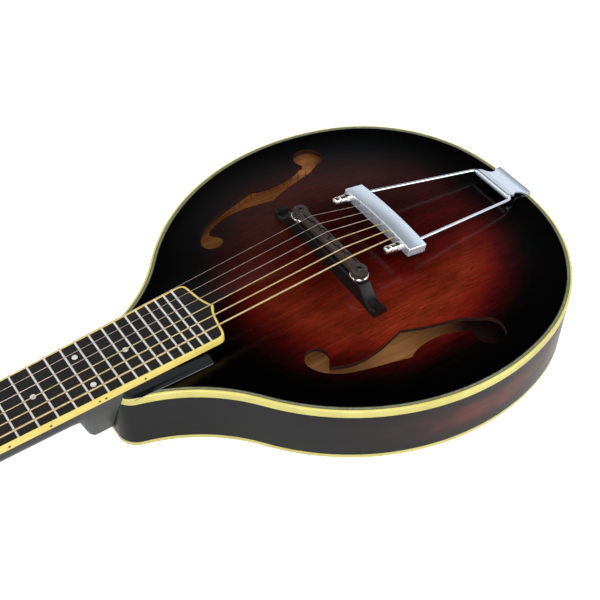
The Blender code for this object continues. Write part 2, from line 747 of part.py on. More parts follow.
def head_outline():
    """Counter-clockwise, in the headstock's frame, from the nut to the crown."""
    bass = [(0.02, 0.5 * NUT_WIDTH), (-0.12, 0.5 * NUT_WIDTH), (-0.2, 0.5 * HEAD_WIDE),
            (-0.95, 0.5 * HEAD_TOP_WIDTH), (-1.0, 0.3 * HEAD_TOP_WIDTH), (-0.965, 0.0)]
    treble = [(share * HEAD_LENGTH, y) for share, y in bass]
    return treble + [(x, -y) for x, y in reversed(treble[:-1])]


def make_headstock_trim():
    outer = [(min(x, -GAP), y) for x, y in head_outline()]
    holes = [circle(x, side * POST_Y, POST_RADIUS + GAP, 8) for x in POST_X for side in (-1, 1)]
    pocket = [(-15 * MM, -4 * MM), (-3 * MM, -4 * MM), (-3 * MM, 4 * MM), (-15 * MM, 4 * MM)]
    put("headstock_veneer", plate([outer, pocket, *holes], -VENEER_THICKNESS, 0), "black_lacquer",
        head_frame)
    bell = [(-2 * MM, -9 * MM), (-2 * MM, 9 * MM), (-14 * MM, 8 * MM), (-30 * MM, 4 * MM),
            (-34 * MM, 0), (-30 * MM, -4 * MM), (-14 * MM, -8 * MM)]
    screws = [(-6 * MM, -5.5 * MM), (-6 * MM, 5.5 * MM), (-30 * MM, 0)]
    low = GAP
    high = GAP + COVER_THICKNESS
    cover = put("truss_rod_cover", plate([bell], low, high), "ebony", head_frame)
    heads = [rod((x, y, high - 0.5 * MM), (x, y, high + 0.7 * MM), 1.6 * MM, 8, 1.1 * MM)
             for x, y in screws]
    boolean(cover, cutter(joined(heads), head_frame), "UNION")


# Tuners

PITCH = 2 * math.pi * GEAR_RADIUS / GEAR_TEETH
BACK_FACE = -VENEER_THICKNESS - GAP - HEAD_THICKNESS      # headstock's rear face
PLATE_FACE = BACK_FACE - GAP - PLATE_THICKNESS            # tuner plate's outer face
GEAR_TOP = PLATE_FACE - (WORM_RADIUS + TOOTH_ADDENDUM + 2 * GAP - GEAR_THICKNESS / 2)
GEAR_MIDDLE = GEAR_TOP - GEAR_THICKNESS / 2
WORM_OFFSET = GEAR_RADIUS + WORM_RADIUS


def gear_loop():
    """Straight teeth, the first of them centred on +X."""
    root = GEAR_RADIUS - TOOTH_ADDENDUM - TOOTH_CLEARANCE
    crest = GEAR_RADIUS + TOOTH_ADDENDUM
    step = 2 * math.pi / GEAR_TEETH
    points = []
    for tooth in range(GEAR_TEETH):
        for radius, share in ((root, -0.27), (crest, -0.12), (crest, 0.12), (root, 0.27)):
            angle = (tooth + share) * step
            points.append((radius * math.cos(angle), radius * math.sin(angle)))
    return points


def post_mesh():
    """The string post with its gear wheel, about Z, in the headstock's heights."""
    foot = GEAR_TOP - GEAR_THICKNESS
    profile = [(0, POST_HEIGHT), (POST_RADIUS - 0.4 * MM, POST_HEIGHT),
               (POST_RADIUS, WAIST_TOP), (POST_WAIST_RADIUS, WAIST_TOP - 0.4 * MM),
               (POST_WAIST_RADIUS, WAIST_LOW), (POST_RADIUS, WAIST_LOW - 0.4 * MM),
               (POST_RADIUS, foot - 0.8 * MM), (0, foot - 0.8 * MM)]
    holder = cutter(turned(profile, 8))
    boolean(holder, cutter(plate([gear_loop()], foot, GEAR_TOP)), "UNION")
    return baked(holder)


def key_mesh():
    """Worm shaft and button about the shaft's axis, +Y, the worm centred on the origin."""
    core = WORM_RADIUS - TOOTH_ADDENDUM - TOOTH_CLEARANCE
    crest = WORM_RADIUS + TOOTH_ADDENDUM
    reach = EAR_SPACING / 2 - EAR_THICKNESS / 2 - GAP
    inner = -EAR_SPACING / 2 - EAR_THICKNESS
    profile = [(0, inner), (SHAFT_RADIUS, inner), (SHAFT_RADIUS, -reach), (core, -reach),
               (core, reach), (SHAFT_RADIUS, reach), (SHAFT_RADIUS, KEY_REACH + 4 * MM),
               (0, KEY_REACH + 4 * MM)]
    shaft = turned([(radius, height) for radius, height in reversed(profile)], 7)
    shaft.transform(Matrix.Rotation(-math.pi / 2, 4, "X"))
    holder = cutter(shaft)
    steps = 8
    sections = []
    turns = WORM_LENGTH / PITCH
    for i in range(-int(turns * steps / 2), int(turns * steps / 2) + 1):
        angle = 2 * math.pi * i / steps + math.pi / 2
        middle = PITCH * i / steps
        section = []
        for radius, half in ((core - 0.25 * MM, 0.55 * MM), (crest, 0.25 * MM),
                             (crest, -0.25 * MM), (core - 0.25 * MM, -0.55 * MM)):
            section.append((radius * math.sin(angle), middle + half, radius * math.cos(angle)))
        sections.append(section)
    boolean(holder, cutter(loft(sections)), "UNION")
    bm = bmesh.new()
    bmesh.ops.create_uvsphere(bm, u_segments=8, v_segments=6, radius=0.5)
    size = Matrix.Diagonal((*BUTTON_SIZE, 1))
    place = Matrix.Translation((0, KEY_REACH + BUTTON_SIZE[1] / 2, 0))
    bmesh.ops.transform(bm, verts=bm.verts[:], matrix=place @ size)
    boolean(holder, cutter(mesh_from(bm)), "UNION")
    return baked(holder)


def tuner_places():
    """Post number, x and side: 1 to 3 on the treble side from the nut, 6 to 4 on the bass side."""
    for i, x in enumerate(POST_X):
        yield 1 + i, x, 1
        yield 6 - i, x, -1


def make_tuners():
    post, key = post_mesh(), key_mesh()
    for number, x, side in tuner_places():
        put(f"tuner_post_{number}", post.copy(), "nickel", head_frame, (x, side * POST_Y, 0))
        turn = (0, 0, 0) if side > 0 else (math.pi, 0, 0)
        put(f"tuner_key_{number}", key.copy(), "bone", head_frame,
            (x + WORM_OFFSET, side * POST_Y, GEAR_MIDDLE), turn)
    for name, side in (("bass_tuner_plate", -1), ("treble_tuner_plate", 1)):
        make_tuner_plate(name, side)


def plate_screw_places(side):
    return [(x + offset, side * POST_Y) for x, offset in
            ((POST_X[0], 17 * MM), (POST_X[1], 17 * MM), (POST_X[2], 17 * MM), (POST_X[2], -9 * MM))]


def make_tuner_plate(name, side):
    y_low = side * POST_Y - PLATE_WIDTH / 2
    y_high = side * POST_Y + PLATE_WIDTH / 2
    x_low, x_high = POST_X[-1] - PLATE_OVERHANG, POST_X[0] + PLATE_OVERHANG + WORM_OFFSET
    edge = [(x_low, y_low), (x_high, y_low), (x_high, y_high), (x_low, y_high)]
    holes = [circle(x, side * POST_Y, POST_RADIUS + GAP, 8) for x in POST_X]
    piece = put(name, plate([edge, *holes], PLATE_FACE, PLATE_FACE + PLATE_THICKNESS), "nickel",
                head_frame)
    ears, bores = [], []
    for x in POST_X:
        axis_x = x + WORM_OFFSET
        for y in (side * POST_Y - EAR_SPACING / 2, side * POST_Y + EAR_SPACING / 2):
            ears.append(box((axis_x - 2.6 * MM, y - EAR_THICKNESS / 2, GEAR_MIDDLE - 2.8 * MM),
                            (axis_x + 2.6 * MM, y + EAR_THICKNESS / 2, PLATE_FACE + 0.5 * MM)))
        bores.append(rod((axis_x, side * POST_Y - EAR_SPACING, GEAR_MIDDLE),
                         (axis_x, side * POST_Y + EAR_SPACING, GEAR_MIDDLE), SHAFT_RADIUS + GAP, 8))
    heads = [rod((x, y, PLATE_FACE + 0.4 * MM), (x, y, PLATE_FACE - 1.1 * MM), 2.4 * MM, 6, 1.4 * MM)
             for x, y in plate_screw_places(side)]
    boolean(piece, cutter(joined(ears + heads), head_frame), "UNION")
    boolean(piece, cutter(joined(bores), head_frame))


# Extension and bridge

def make_riser():
    """The black block that carries the fretboard over the top."""
    wide = BOARD_END_WIDTH / 2
    foot = wide + RISER_FLARE
    start = FRONT_X + RISER_START
    end = BOARD_SIDE_X - RISER_SETBACK
    shares = (-1, -0.5, 0, 0.5, 1)
    sections = []
    for i in range(5):
        x = start + (end - start) * i / 4
        tip = x + (RISER_SLOPE if i == 4 else 0)
        half = board_half_width(x) - RISER_INSET
        section = [(tip, foot * s * (half / wide + 0.06), arch_height(x, foot * s) - FIT_STOCK)
                   for s in shares]
        top = BOARD_HEIGHT + x * math.tan(NECK_TILT) - (BOARD_THICKNESS + GAP) / math.cos(NECK_TILT)
        section += [(x, half, top), (x, -half, top)]
        sections.append(section)
    riser = put("extension_riser", loft(sections), "black_lacquer")
    inside = cutter(plate([outline(GAP)], RIM_HEIGHT + GAP, BOARD_HEIGHT))
    boolean(riser, inside, "INTERSECT")
    boolean(riser, raised_top)


def base_top(y):
    """Height of the bridge base: a raised middle, scooped shoulders and low ends."""
    reach = abs(y)
    middle = BASE_BLOCK / 2
    end = BASE_LENGTH / 2
    low = arch_height(BRIDGE_X, end) + BASE_END_HEIGHT
    if reach <= middle:
        return BASE_TOP
    share = (reach - middle) / (end - 6 * MM - middle)
    if share < 1:
        return low + (BASE_TOP - low) * (1 - share) ** 2
    return low


def make_bridge():
    stations = [0, 0.5, 0.7, 0.705, 0.75, 0.82, 0.9, 1.0]
    places = sorted({side * s * BASE_LENGTH / 2 for s in stations for side in (-1, 1)})
    half = BASE_WIDTH / 2
    sections = []
    for y in places:
        low = arch_height(BRIDGE_X, y) - FIT_STOCK
        sections.append([(BRIDGE_X - half, y, low), (BRIDGE_X + half, y, low),
                         (BRIDGE_X + half - 0.8 * MM, y, base_top(y)),
                         (BRIDGE_X - half + 0.8 * MM, y, base_top(y))])
    base = put("bridge_base", loft(sections), "ebony")
    boolean(base, raised_top)
    post_y = [-POST_SPACING / 2, POST_SPACING / 2]
    floor = BASE_TOP - 5 * MM
    boolean(base, cutter(joined([rod((BRIDGE_X, y, floor - GAP), (BRIDGE_X, y, BASE_TOP + 5 * MM),
                                     BRIDGE_POST_RADIUS + GAP) for y in post_y])))
    for name, y in (("bass_bridge_post", post_y[0]), ("treble_bridge_post", post_y[1])):
        put(name, rod((BRIDGE_X, y, floor), (BRIDGE_X, y, BRIDGE_POST_TOP), BRIDGE_POST_RADIUS), "nickel")

    wheel_low = BASE_TOP + WHEEL_RISE
    for name, y in (("bass_thumbwheel", post_y[0]), ("treble_thumbwheel", post_y[1])):
        rim = [circle(0, 0, WHEEL_RADIUS, 20), circle(0, 0, BRIDGE_POST_RADIUS + GAP)]
        put(name, plate(rim, 0, WHEEL_THICKNESS), "nickel", None, (BRIDGE_X, y, wheel_low))

    low = wheel_low + WHEEL_THICKNESS + GAP
    put("bridge_saddle", plate(saddle_loops(post_y), 0, SADDLE_HEIGHT), "rosewood", None,
        (BRIDGE_X, 0, low))
    return low + SADDLE_HEIGHT


def saddle_loops(post_y):
    """A bar with a round boss and a hole at each post, about the bridge line."""
    half = SADDLE_WIDTH / 2
    start = math.asin(half / SADDLE_END_RADIUS)
    steps = 8
    sweep = [start + (2 * math.pi - 2 * start) * i / steps for i in range(steps + 1)]
    bass = [(-SADDLE_END_RADIUS * math.sin(a), post_y[0] + SADDLE_END_RADIUS * math.cos(a))
            for a in sweep]
    treble = [(-x, -y) for x, y in bass]
    holes = [circle(0, y, BRIDGE_POST_RADIUS + GAP) for y in post_y]
    return [bass + treble, *holes]


# Tailpiece

def make_tailpiece():
    hinge = frame("tailpiece_hinge", (HINGE_X, 0, HINGE_Z), (0, TRAPEZE_TILT, 0))
    front = -TRAPEZE_LENGTH
    nut_reach = HEX_NUT_LENGTH + CAP_NUT_LENGTH * 0.6
    inner_y = TUBE_LENGTH / 2 - 6 * MM
    for name, side in SIDES:
        path = [(front - nut_reach, side * ROD_FRONT_Y, 0), (front - 2 * MM, side * ROD_FRONT_Y, 0),
                (front + BAR_DEPTH_X + 2 * MM, side * ROD_FRONT_Y, 0),
                (-4 * MM, side * (ROD_BEND_Y + 0.4 * MM), 0), (-1.2 * MM, side * ROD_BEND_Y, 0),
                (0, side * (ROD_BEND_Y - 1.6 * MM), 0), (0, side * inner_y, 0)]
        holder = bpy.data.objects.new("wire", tube(path, ROD_RADIUS))
        cutters.objects.link(holder)
        mesh = baked(holder)
        bpy.data.objects.remove(holder)
        bm = bmesh.new()
        bm.from_mesh(mesh)
        bmesh.ops.remove_doubles(bm, verts=bm.verts[:], dist=0.001 * MM)
        put(f"{name}_tailpiece_rod", mesh_from(bm), "chrome", hinge)
    make_tailpiece_bar(hinge, front)

    for name, side in SIDES:
        bore = circle(0, 0, ROD_RADIUS + GAP, 8)
        nut = plate([circle(0, 0, HEX_NUT_SIZE / 2 / math.cos(math.pi / 6), 6), bore], 0, HEX_NUT_LENGTH)
        turn = Matrix.Rotation(-math.pi / 2, 4, "Y")
        nut.transform(Matrix.Translation((front - GAP, side * ROD_FRONT_Y, 0)) @ turn)
        put(f"{name}_hex_nut", nut, "nickel", hinge)
        cap = turned(cap_nut_profile(), 12)
        cap.transform(Matrix.Translation((front - 2 * GAP - HEX_NUT_LENGTH, side * ROD_FRONT_Y, 0)) @ turn)
        put(f"{name}_cap_nut", cap, "nickel", hinge)
    make_bracket()
    return hinge


def cap_nut_profile():
    """A domed cap with a waist, hollow from the wide end up; its top is the closed dome."""
    wide = HEX_NUT_SIZE / 2
    bore = ROD_RADIUS + GAP
    deep = 0.62 * CAP_NUT_LENGTH + GAP
    return [(0, CAP_NUT_LENGTH), (0.6 * wide, 0.93 * CAP_NUT_LENGTH), (0.95 * wide, 0.75 * CAP_NUT_LENGTH),
            (0.95 * wide, 0.58 * CAP_NUT_LENGTH), (0.72 * wide, 0.5 * CAP_NUT_LENGTH),
            (wide, 0.4 * CAP_NUT_LENGTH), (wide, 0), (bore, 0), (bore, deep), (0, deep)]


def tail_string_y(number):
    return TAIL_STRING_SPREAD * (0.5 - (number - 1) / 5)


def make_tailpiece_bar(hinge, front):
    """An arched cover with walls all round, open below; its lower edge is straight."""
    half = BAR_LENGTH / 2
    columns = 8
    outer, inner = [], []
    for i in range(columns + 1):
        y = -half + BAR_LENGTH * i / columns
        drop = BAR_CROWN * (y / half) ** 2
        outer.append((y, BAR_TOP - drop))
    for i in range(columns + 1):
        y = (-half + BAR_WALL) + (BAR_LENGTH - 2 * BAR_WALL) * i / columns
        drop = BAR_CROWN * (y / half) ** 2
        inner.append((y, BAR_TOP - drop - BAR_WALL))
    foot = BAR_TOP - BAR_SKIRT
    shell = [(y, z) for y, z in outer] + [(half, foot), (-half, foot)]
    hollow = [(y, z) for y, z in inner] + [(half - BAR_WALL, foot - 1 * MM), (-half + BAR_WALL, foot - 1 * MM)]
    stand = Matrix.Rotation(math.pi / 2, 4, "Z") @ Matrix.Rotation(math.pi / 2, 4, "X")
    body = plate([shell[::-1]], front, front + BAR_DEPTH_X)
    body.transform(stand)
    bar = put("tailpiece_bar", body, "chrome", hinge)
    room = plate([hollow[::-1]], front + BAR_WALL, front + BAR_DEPTH_X - BAR_WALL)
    room.transform(stand)
    boolean(bar, cutter(room, hinge))
    bores = [rod((front - 2 * MM, side * ROD_FRONT_Y, 0), (front + BAR_DEPTH_X + 2 * MM, side * ROD_FRONT_Y, 0),
                 ROD_RADIUS + GAP, 8) for side in (-1, 1)]
    for number, diameter in enumerate(STRING_DIAMETERS, 1):
        y = tail_string_y(number)
        bores.append(rod((front - 2 * MM, y, TAIL_STRING_Z), (front + 3 * MM, y, TAIL_STRING_Z),
                         diameter / 2 + 2 * GAP, 6))
    boolean(bar, cutter(joined(bores), hinge))


TAIL_STRING_Z = -0.6 * MM       # string holes, against the rods' axis


def bracket_profile():
    """The bracket from the side as (x, z): a tube round the hinge and a strap over the edge."""
    steps = 10
    start, end = math.radians(62), math.radians(352)
    ring = [start + (end - start) * i / steps for i in range(steps + 1)]
    roll = [(HINGE_X + TUBE_RADIUS * math.cos(a), HINGE_Z + TUBE_RADIUS * math.sin(a)) for a in ring]
    face = TAIL_X + GAP
    t = BRACKET_THICKNESS
    under = [(HINGE_X + 6 * MM, HINGE_Z - 2.0 * MM), (TAIL_X - 4 * MM, RIM_HEIGHT + GAP),
             (face, RIM_HEIGHT + GAP), (face, BRACKET_FOOT)]
    over = [(face + t, BRACKET_FOOT), (face + t, RIM_HEIGHT + 0.3 * t), (face + 0.3 * t, RIM_HEIGHT + GAP + t),
            (TAIL_X - 4 * MM, RIM_HEIGHT + GAP + t), (HINGE_X + 6 * MM, HINGE_Z - 2.0 * MM + t)]
    return roll + under + over


def make_bracket():
    bore = circle(HINGE_X, HINGE_Z, ROD_RADIUS + GAP)
    mesh = plate([bracket_profile(), bore], -TUBE_LENGTH / 2, TUBE_LENGTH / 2)
    mesh.transform(Matrix.Rotation(math.pi / 2, 4, "X"))
    piece = put("tailpiece_bracket", mesh, "chrome")
    notch_x = (HINGE_X + TUBE_RADIUS + TAIL_X) / 2 - 0.5 * MM
    notches = [rod((notch_x, side * (TUBE_LENGTH / 2 + BRACKET_NOTCH * 0.55), RIM_HEIGHT - 2 * MM),
                   (notch_x, side * (TUBE_LENGTH / 2 + BRACKET_NOTCH * 0.55), HINGE_Z + 12 * MM),
                   BRACKET_NOTCH, 16) for side in (-1, 1)]
    boolean(piece, cutter(joined(notches)))
    boolean(piece, tail_holes)
    face = TAIL_X + GAP + BRACKET_THICKNESS + GAP
    deep = TAIL_X - SIDE_THICKNESS - 8 * MM
    for name, (y, z) in zip(("bass_bracket_screw", "treble_bracket_screw"), SCREW_PLACES):
        screw = turned([(0, 1.6 * MM), (1.9 * MM, 1.3 * MM), (SCREW_HEAD, 0), (SCREW_RADIUS, 0),
                        (SCREW_RADIUS, deep - face), (0, deep - face)], 10)
        screw.transform(Matrix.Translation((face, y, z)) @ Matrix.Rotation(math.pi / 2, 4, "Y"))
        put(name, screw, "nickel")
    pin = turned([(0, PIN_LENGTH), (0.8 * PIN_RADIUS, PIN_LENGTH), (PIN_RADIUS, 0.85 * PIN_LENGTH),
                  (PIN_RADIUS, 0.68 * PIN_LENGTH), (0.58 * PIN_RADIUS, 0.5 * PIN_LENGTH),
                  (0.62 * PIN_RADIUS, 0.2 * PIN_LENGTH), (0.85 * PIN_RADIUS, 0),
                  (PIN_SHANK, 0), (PIN_SHANK * 0.8, deep - face), (0, deep - face)], 16)
    pin.transform(Matrix.Translation((face, 0, PIN_HEIGHT)) @ Matrix.Rotation(math.pi / 2, 4, "Y"))
    put("end_pin", pin, "black_lacquer")


SCREW_PLACES = ((-10 * MM, 37 * MM), (10 * MM, 37 * MM))
tail_holes = cutter(joined(
    [rod((TAIL_X - SIDE_THICKNESS - 9 * MM, y, z), (TAIL_X + 8 * MM, y, z), SCREW_RADIUS + GAP, 8)
     for y, z in SCREW_PLACES]
    + [rod((TAIL_X - SIDE_THICKNESS - 9 * MM, 0, PIN_HEIGHT), (TAIL_X + 8 * MM, 0, PIN_HEIGHT),
           PIN_SHANK + GAP, 12)]))


# Strings

def string_path(number, saddle_top, hinge_matrix):
    """From the winding on the post, over the nut and the saddle, to the tailpiece."""
    radius = STRING_DIAMETERS[number - 1] / 2
    side = 1 if number <= 3 else -1
    place = number - 1 if number <= 3 else 6 - number
    post = Vector((POST_X[place], side * POST_Y, 0))
    turns = STRING_TURNS
    climb = 2 * radius + 0.5 * MM
    reach = POST_RADIUS - 0.4 * MM + GAP + radius + 0.05 * MM
    low = WAIST_LOW + GAP + radius

    nut = NECK @ Vector((-SCALE_LENGTH - NUT_THICKNESS / 2, nut_string_y(number), NUT_STRING_HEIGHT))
    leave = HEAD.inverted() @ nut
    away = Vector((leave.x - post.x, leave.y - post.y))
    bearing = math.atan2(away.y, away.x)
    contact = bearing - side * math.acos(reach / away.length)
    coil = []
    for i in range(turns * 24, -1, -1):
        angle = contact - side * 2 * math.pi * i / 24
        height = low + climb * i / 24
        coil.append(HEAD @ Vector((post.x + reach * math.cos(angle), post.y + reach * math.sin(angle), height)))

    saddle_y = SADDLE_STRING_SPREAD * (0.5 - (number - 1) / 5)
    saddle = Vector((BRIDGE_X + 1.5 * MM, saddle_y, saddle_top + GAP + radius))
    tail = hinge_matrix @ Vector((-TRAPEZE_LENGTH - 1 * MM, tail_string_y(number), TAIL_STRING_Z))
    end = hinge_matrix @ Vector((-TRAPEZE_LENGTH + BAR_WALL + 1.2 * MM, tail_string_y(number), TAIL_STRING_Z))
    return coil + [nut, saddle, tail, end]


def least_gap(path, radius):
    """Least distance between parts of the winding that are half a turn or more apart."""
    coil = path[:-4]
    least = min((a - b).length for i, a in enumerate(coil) for b in coil[i + 12:])
    return least - 2 * radius


def make_strings(saddle_top):
    hinge_matrix = Matrix.Translation((HINGE_X, 0, HINGE_Z)) @ Matrix.Rotation(TRAPEZE_TILT, 4, "Y")
    runs = {"nut": ([], []), "bridge_saddle": ([], [])}
    for number, diameter in enumerate(STRING_DIAMETERS, 1):
        path = string_path(number, saddle_top, hinge_matrix)
        curve = tube(path, diameter / 2, 1)
        slot = "plain_string" if number <= 3 else "wound_string"
        curve.materials.append(material(slot))
        wire = bpy.data.objects.new(f"string_{number}", curve)
        parts.objects.link(wire)
        print(f"string_{number}: least gap in its winding {least_gap(path, diameter / 2) / MM:.2f} mm")
        for name, at in (("nut", -4), ("bridge_saddle", -3)):
            for run, step in zip(runs[name], (-1, 1)):
                away = (path[at + step] - path[at]).normalized() * 2 * SADDLE_WIDTH
                run.append(rod(path[at] - away / 80, path[at] + away, diameter / 2 + GAP, 6))
    for name, sides in runs.items():
        for run in sides:
            boolean(bpy.data.objects[name], cutter(joined(run)))


raised_top = make_top()
make_back()
make_sides()
make_linings()
make_blocks()
make_tone_bars()
make_fretboard()
make_nut()
make_neck()
make_headstock_trim()
make_tuners()
make_riser()
SADDLE_TOP = make_bridge()
make_tailpiece()
make_strings(SADDLE_TOP)
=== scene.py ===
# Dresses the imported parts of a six-string mando guitar for a studio picture.
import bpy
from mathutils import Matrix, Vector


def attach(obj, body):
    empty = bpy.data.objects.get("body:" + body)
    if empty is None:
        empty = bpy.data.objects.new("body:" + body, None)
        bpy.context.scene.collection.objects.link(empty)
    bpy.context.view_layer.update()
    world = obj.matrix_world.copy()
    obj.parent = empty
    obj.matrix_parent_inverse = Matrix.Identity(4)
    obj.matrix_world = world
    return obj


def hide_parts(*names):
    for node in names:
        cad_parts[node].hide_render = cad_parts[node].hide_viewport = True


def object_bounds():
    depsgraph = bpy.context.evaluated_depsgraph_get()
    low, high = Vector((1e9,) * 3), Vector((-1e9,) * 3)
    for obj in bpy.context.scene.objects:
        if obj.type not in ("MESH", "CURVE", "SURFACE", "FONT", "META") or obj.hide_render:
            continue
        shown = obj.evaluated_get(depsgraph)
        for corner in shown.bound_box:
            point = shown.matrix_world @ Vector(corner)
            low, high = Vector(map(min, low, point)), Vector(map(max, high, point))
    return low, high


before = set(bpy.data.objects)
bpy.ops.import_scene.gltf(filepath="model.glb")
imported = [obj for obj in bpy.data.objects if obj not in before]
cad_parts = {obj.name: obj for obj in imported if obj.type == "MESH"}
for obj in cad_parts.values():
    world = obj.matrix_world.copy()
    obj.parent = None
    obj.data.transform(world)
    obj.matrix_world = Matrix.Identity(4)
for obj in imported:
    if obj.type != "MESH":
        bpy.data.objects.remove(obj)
cadBox = [list(corner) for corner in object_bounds()]

import math

import bmesh
import bpy
from mathutils import Matrix, Vector

scene = bpy.context.scene
mm = 0.001
gap = 0.3 * mm           # room between pieces, as in the CAD
weld = 0.002 * mm        # vertices nearer than this become one


def at(x, y, z):
    return Matrix.Translation((x, y, z))


def spun(axis, angle=math.pi / 2):
    return Matrix.Rotation(angle, 4, axis)


def clamp(value):
    return max(0.0, min(1.0, value))


body = dict(
    tailX=176.7 * mm,
    # radius, first and last outward direction in degrees, 1 for a bulge and -1 for a hollow
    arcs=((243.5, 0, 8, 1), (122.5, 8, 71, 1), (171.3, 71, 142.7, 1), (126.3, 142.7, 105.8, -1), (15, 105.8, 180, 1)),
    degreesPerStep=2.6, trim=0.9982,      # the smooth curve stays inside the CAD's facets
    rim=49 * mm, archX=10 * mm, archRise=10 * mm, topEdge=1.9 * mm, archEdge=4.2 * mm,
    binding=1.6 * mm, backThick=3.5 * mm, sideThick=2.5 * mm, neckCut=10.3 * mm,
)
board = dict(
    scale=360 * mm, tilt=math.radians(3.27), height=71 * mm, thick=5 * mm, nutWidth=43 * mm, endWidth=55.8 * mm,
    frets=21, pastFret=4.53 * mm, endReach=12.5 * mm, binding=1.6 * mm, nut=4.5 * mm,
)
headTilt = math.radians(8)
hinge = dict(x=154.5 * mm, z=55.6 * mm, tilt=math.radians(9.5))

neckPlace = at(0, 0, board["height"]) @ spun("Y", -board["tilt"])
headPlace = (neckPlace @ at(-board["scale"] - board["nut"], 0, -board["thick"])
             @ spun("Y", -headTilt))
trapezePlace = at(hinge["x"], 0, hinge["z"]) @ spun("Y", hinge["tilt"])


# Materials: small helpers first

def paint(red, green, blue):
    # a screen colour from 0 to 255 as the shader takes it
    parts = [c / 255 for c in (red, green, blue)]
    return (*[c / 12.92 if c < 0.04 else ((c + 0.055) / 1.055) ** 2.4 for c in parts], 1)


def node(tree, kind, inputs=None, **settings):
    made = tree.nodes.new(kind)
    for key, value in settings.items():
        setattr(made, key, value)
    for key, value in (inputs or {}).items():
        if isinstance(value, bpy.types.NodeSocket):
            tree.links.new(value, made.inputs[key])
        else:
            made.inputs[key].default_value = value
    return made


def newLook(name, **sockets):
    look = bpy.data.materials.new(name)
    look.use_nodes = True
    shader = look.node_tree.nodes["Principled BSDF"]
    for key, value in sockets.items():
        shader.inputs[key.replace("_", " ")].default_value = value
    return look, look.node_tree, shader


def objectPlace(tree):
    return node(tree, "ShaderNodeTexCoord").outputs["Object"]


def maths(tree, kind, first, second):
    return node(tree, "ShaderNodeMath", {0: first, 1: second}, operation=kind).outputs[0]


def vectors(tree, kind, first, second=(0, 0, 0)):
    made = node(tree, "ShaderNodeVectorMath", {0: first, 1: second}, operation=kind)
    return made.outputs["Value" if kind in ("LENGTH", "DISTANCE") else "Vector"]


def ease(tree, value, low, high, start=0.0, stop=1.0):
    # smoothly from start to stop while the value goes from low to high
    return node(tree, "ShaderNodeMapRange", {0: value, 1: low, 2: high, 3: start, 4: stop},
                interpolation_type="SMOOTHSTEP").outputs[0]


def grain(tree, stretch, detail=4.0, roughness=0.6, distortion=0.0):
    # noise on the object's own coordinates, in features per metre along each axis
    mapped = node(tree, "ShaderNodeMapping", {"Vector": objectPlace(tree), "Scale": stretch}).outputs[0]
    made = node(tree, "ShaderNodeTexNoise", {"Vector": mapped, "Scale": 1.0, "Detail": detail,
                                             "Roughness": roughness, "Distortion": distortion})
    return made.outputs["Fac"]


def ramp(tree, factor, stops):
    made = node(tree, "ShaderNodeValToRGB", {"Fac": factor})
    row = made.color_ramp.elements
    row[0].position, row[1].position = stops[0][0], stops[-1][0]
    row[0].color, row[1].color = stops[0][1], stops[-1][1]
    for place, colour in stops[1:-1]:
        row.new(place).color = colour
    return made.outputs["Color"]


def greys(*pairs):
    return [(place, (value, value, value, 1)) for place, value in pairs]


def blend(tree, factor, first, second, kind="MIX"):
    made = node(tree, "ShaderNodeMix", data_type="RGBA", blend_type=kind)
    for index, value in ((0, factor), (6, first), (7, second)):
        if isinstance(value, bpy.types.NodeSocket):
            tree.links.new(value, made.inputs[index])
        else:
            made.inputs[index].default_value = value
    return made.outputs[2]


def times(tree, first, second):
    return blend(tree, 1.0, first, second, "MULTIPLY")


def bump(tree, shader, height, distance):
    made = node(tree, "ShaderNodeBump", {"Height": height, "Distance": distance})
    tree.links.new(made.outputs[0], shader.inputs["Normal"])


def axisShare(tree, axis, low, high):
    # 0 to 1 across the object, from low to high along one axis
    parts = node(tree, "ShaderNodeSeparateXYZ", {0: objectPlace(tree)}).outputs
    return ease(tree, parts[axis], low, high)


def flecked(name, dark, light, stretch, rough, bumpDepth, **sockets):
    # two screen colours along a stretched noise, with the same noise in the roughness and the bump
    look, tree, shader = newLook(name, **sockets)
    pattern = grain(tree, stretch)
    tree.links.new(ramp(tree, pattern, ((0.3, paint(*dark)), (0.7, paint(*light)))), shader.inputs["Base Color"])
    tree.links.new(ramp(tree, pattern, greys((0.3, rough[0]), (0.7, rough[1]))), shader.inputs["Roughness"])
    if bumpDepth:
        bump(tree, shader, pattern, bumpDepth * mm)
    return look


burst = dict(
    centre=(29 * mm, 0, 0), reach=(121 * mm, 116 * mm, 1), wander=0.16,
    # share of the way to the edge, and the stain there
    stainAndShade=((0.0, (92, 18, 9)), (0.3, (96, 22, 10)), (0.5, (108, 32, 16)), (0.66, (116, 38, 20)),
           (0.77, (98, 22, 12)), (0.86, (62, 9, 7)), (0.93, (34, 4, 5)), (1.0, (10, 3, 3)),
           (1.06, (2, 2, 2)), (1.2, (1, 1, 1))),
    # painted shade across the top: from none on the bass side to dark on the treble side, with a faint painted sheen
    # greying it
    trebleSide=((0.0, (1, 1, 1, 1)), (0.5, (0.62, 0.6, 0.6, 1)), (1.0, (0.2, 0.22, 0.24, 1))),
    # painted shade under the strings and the tailpiece bar: a wine-red darkening round this centre
    barShade=(0.4, 0.22, 0.42, 1), barShadeCentre=(72 * mm, 4 * mm, 0), barShadeReach=(104 * mm, 64 * mm, 1),
    neck=(0.7, 0.68, 0.72, 1),
    # patches, lines and flecks: the noise, then the grey at each of its levels
    layers=(((30, 75, 50), 4.0, 0.65, 0.0, ((0.3, 0.62), (0.5, 1.0), (0.72, 1.35))),
            ((14, 620, 300), 6.0, 0.75, 0.4, ((0.3, 0.6), (0.5, 1.0), (0.75, 1.35))),
            ((110, 1100, 500), 2.0, 0.6, 0.0, ((0.33, 0.55), (0.42, 1.0), (0.68, 1.0), (0.76, 1.9)))),
)


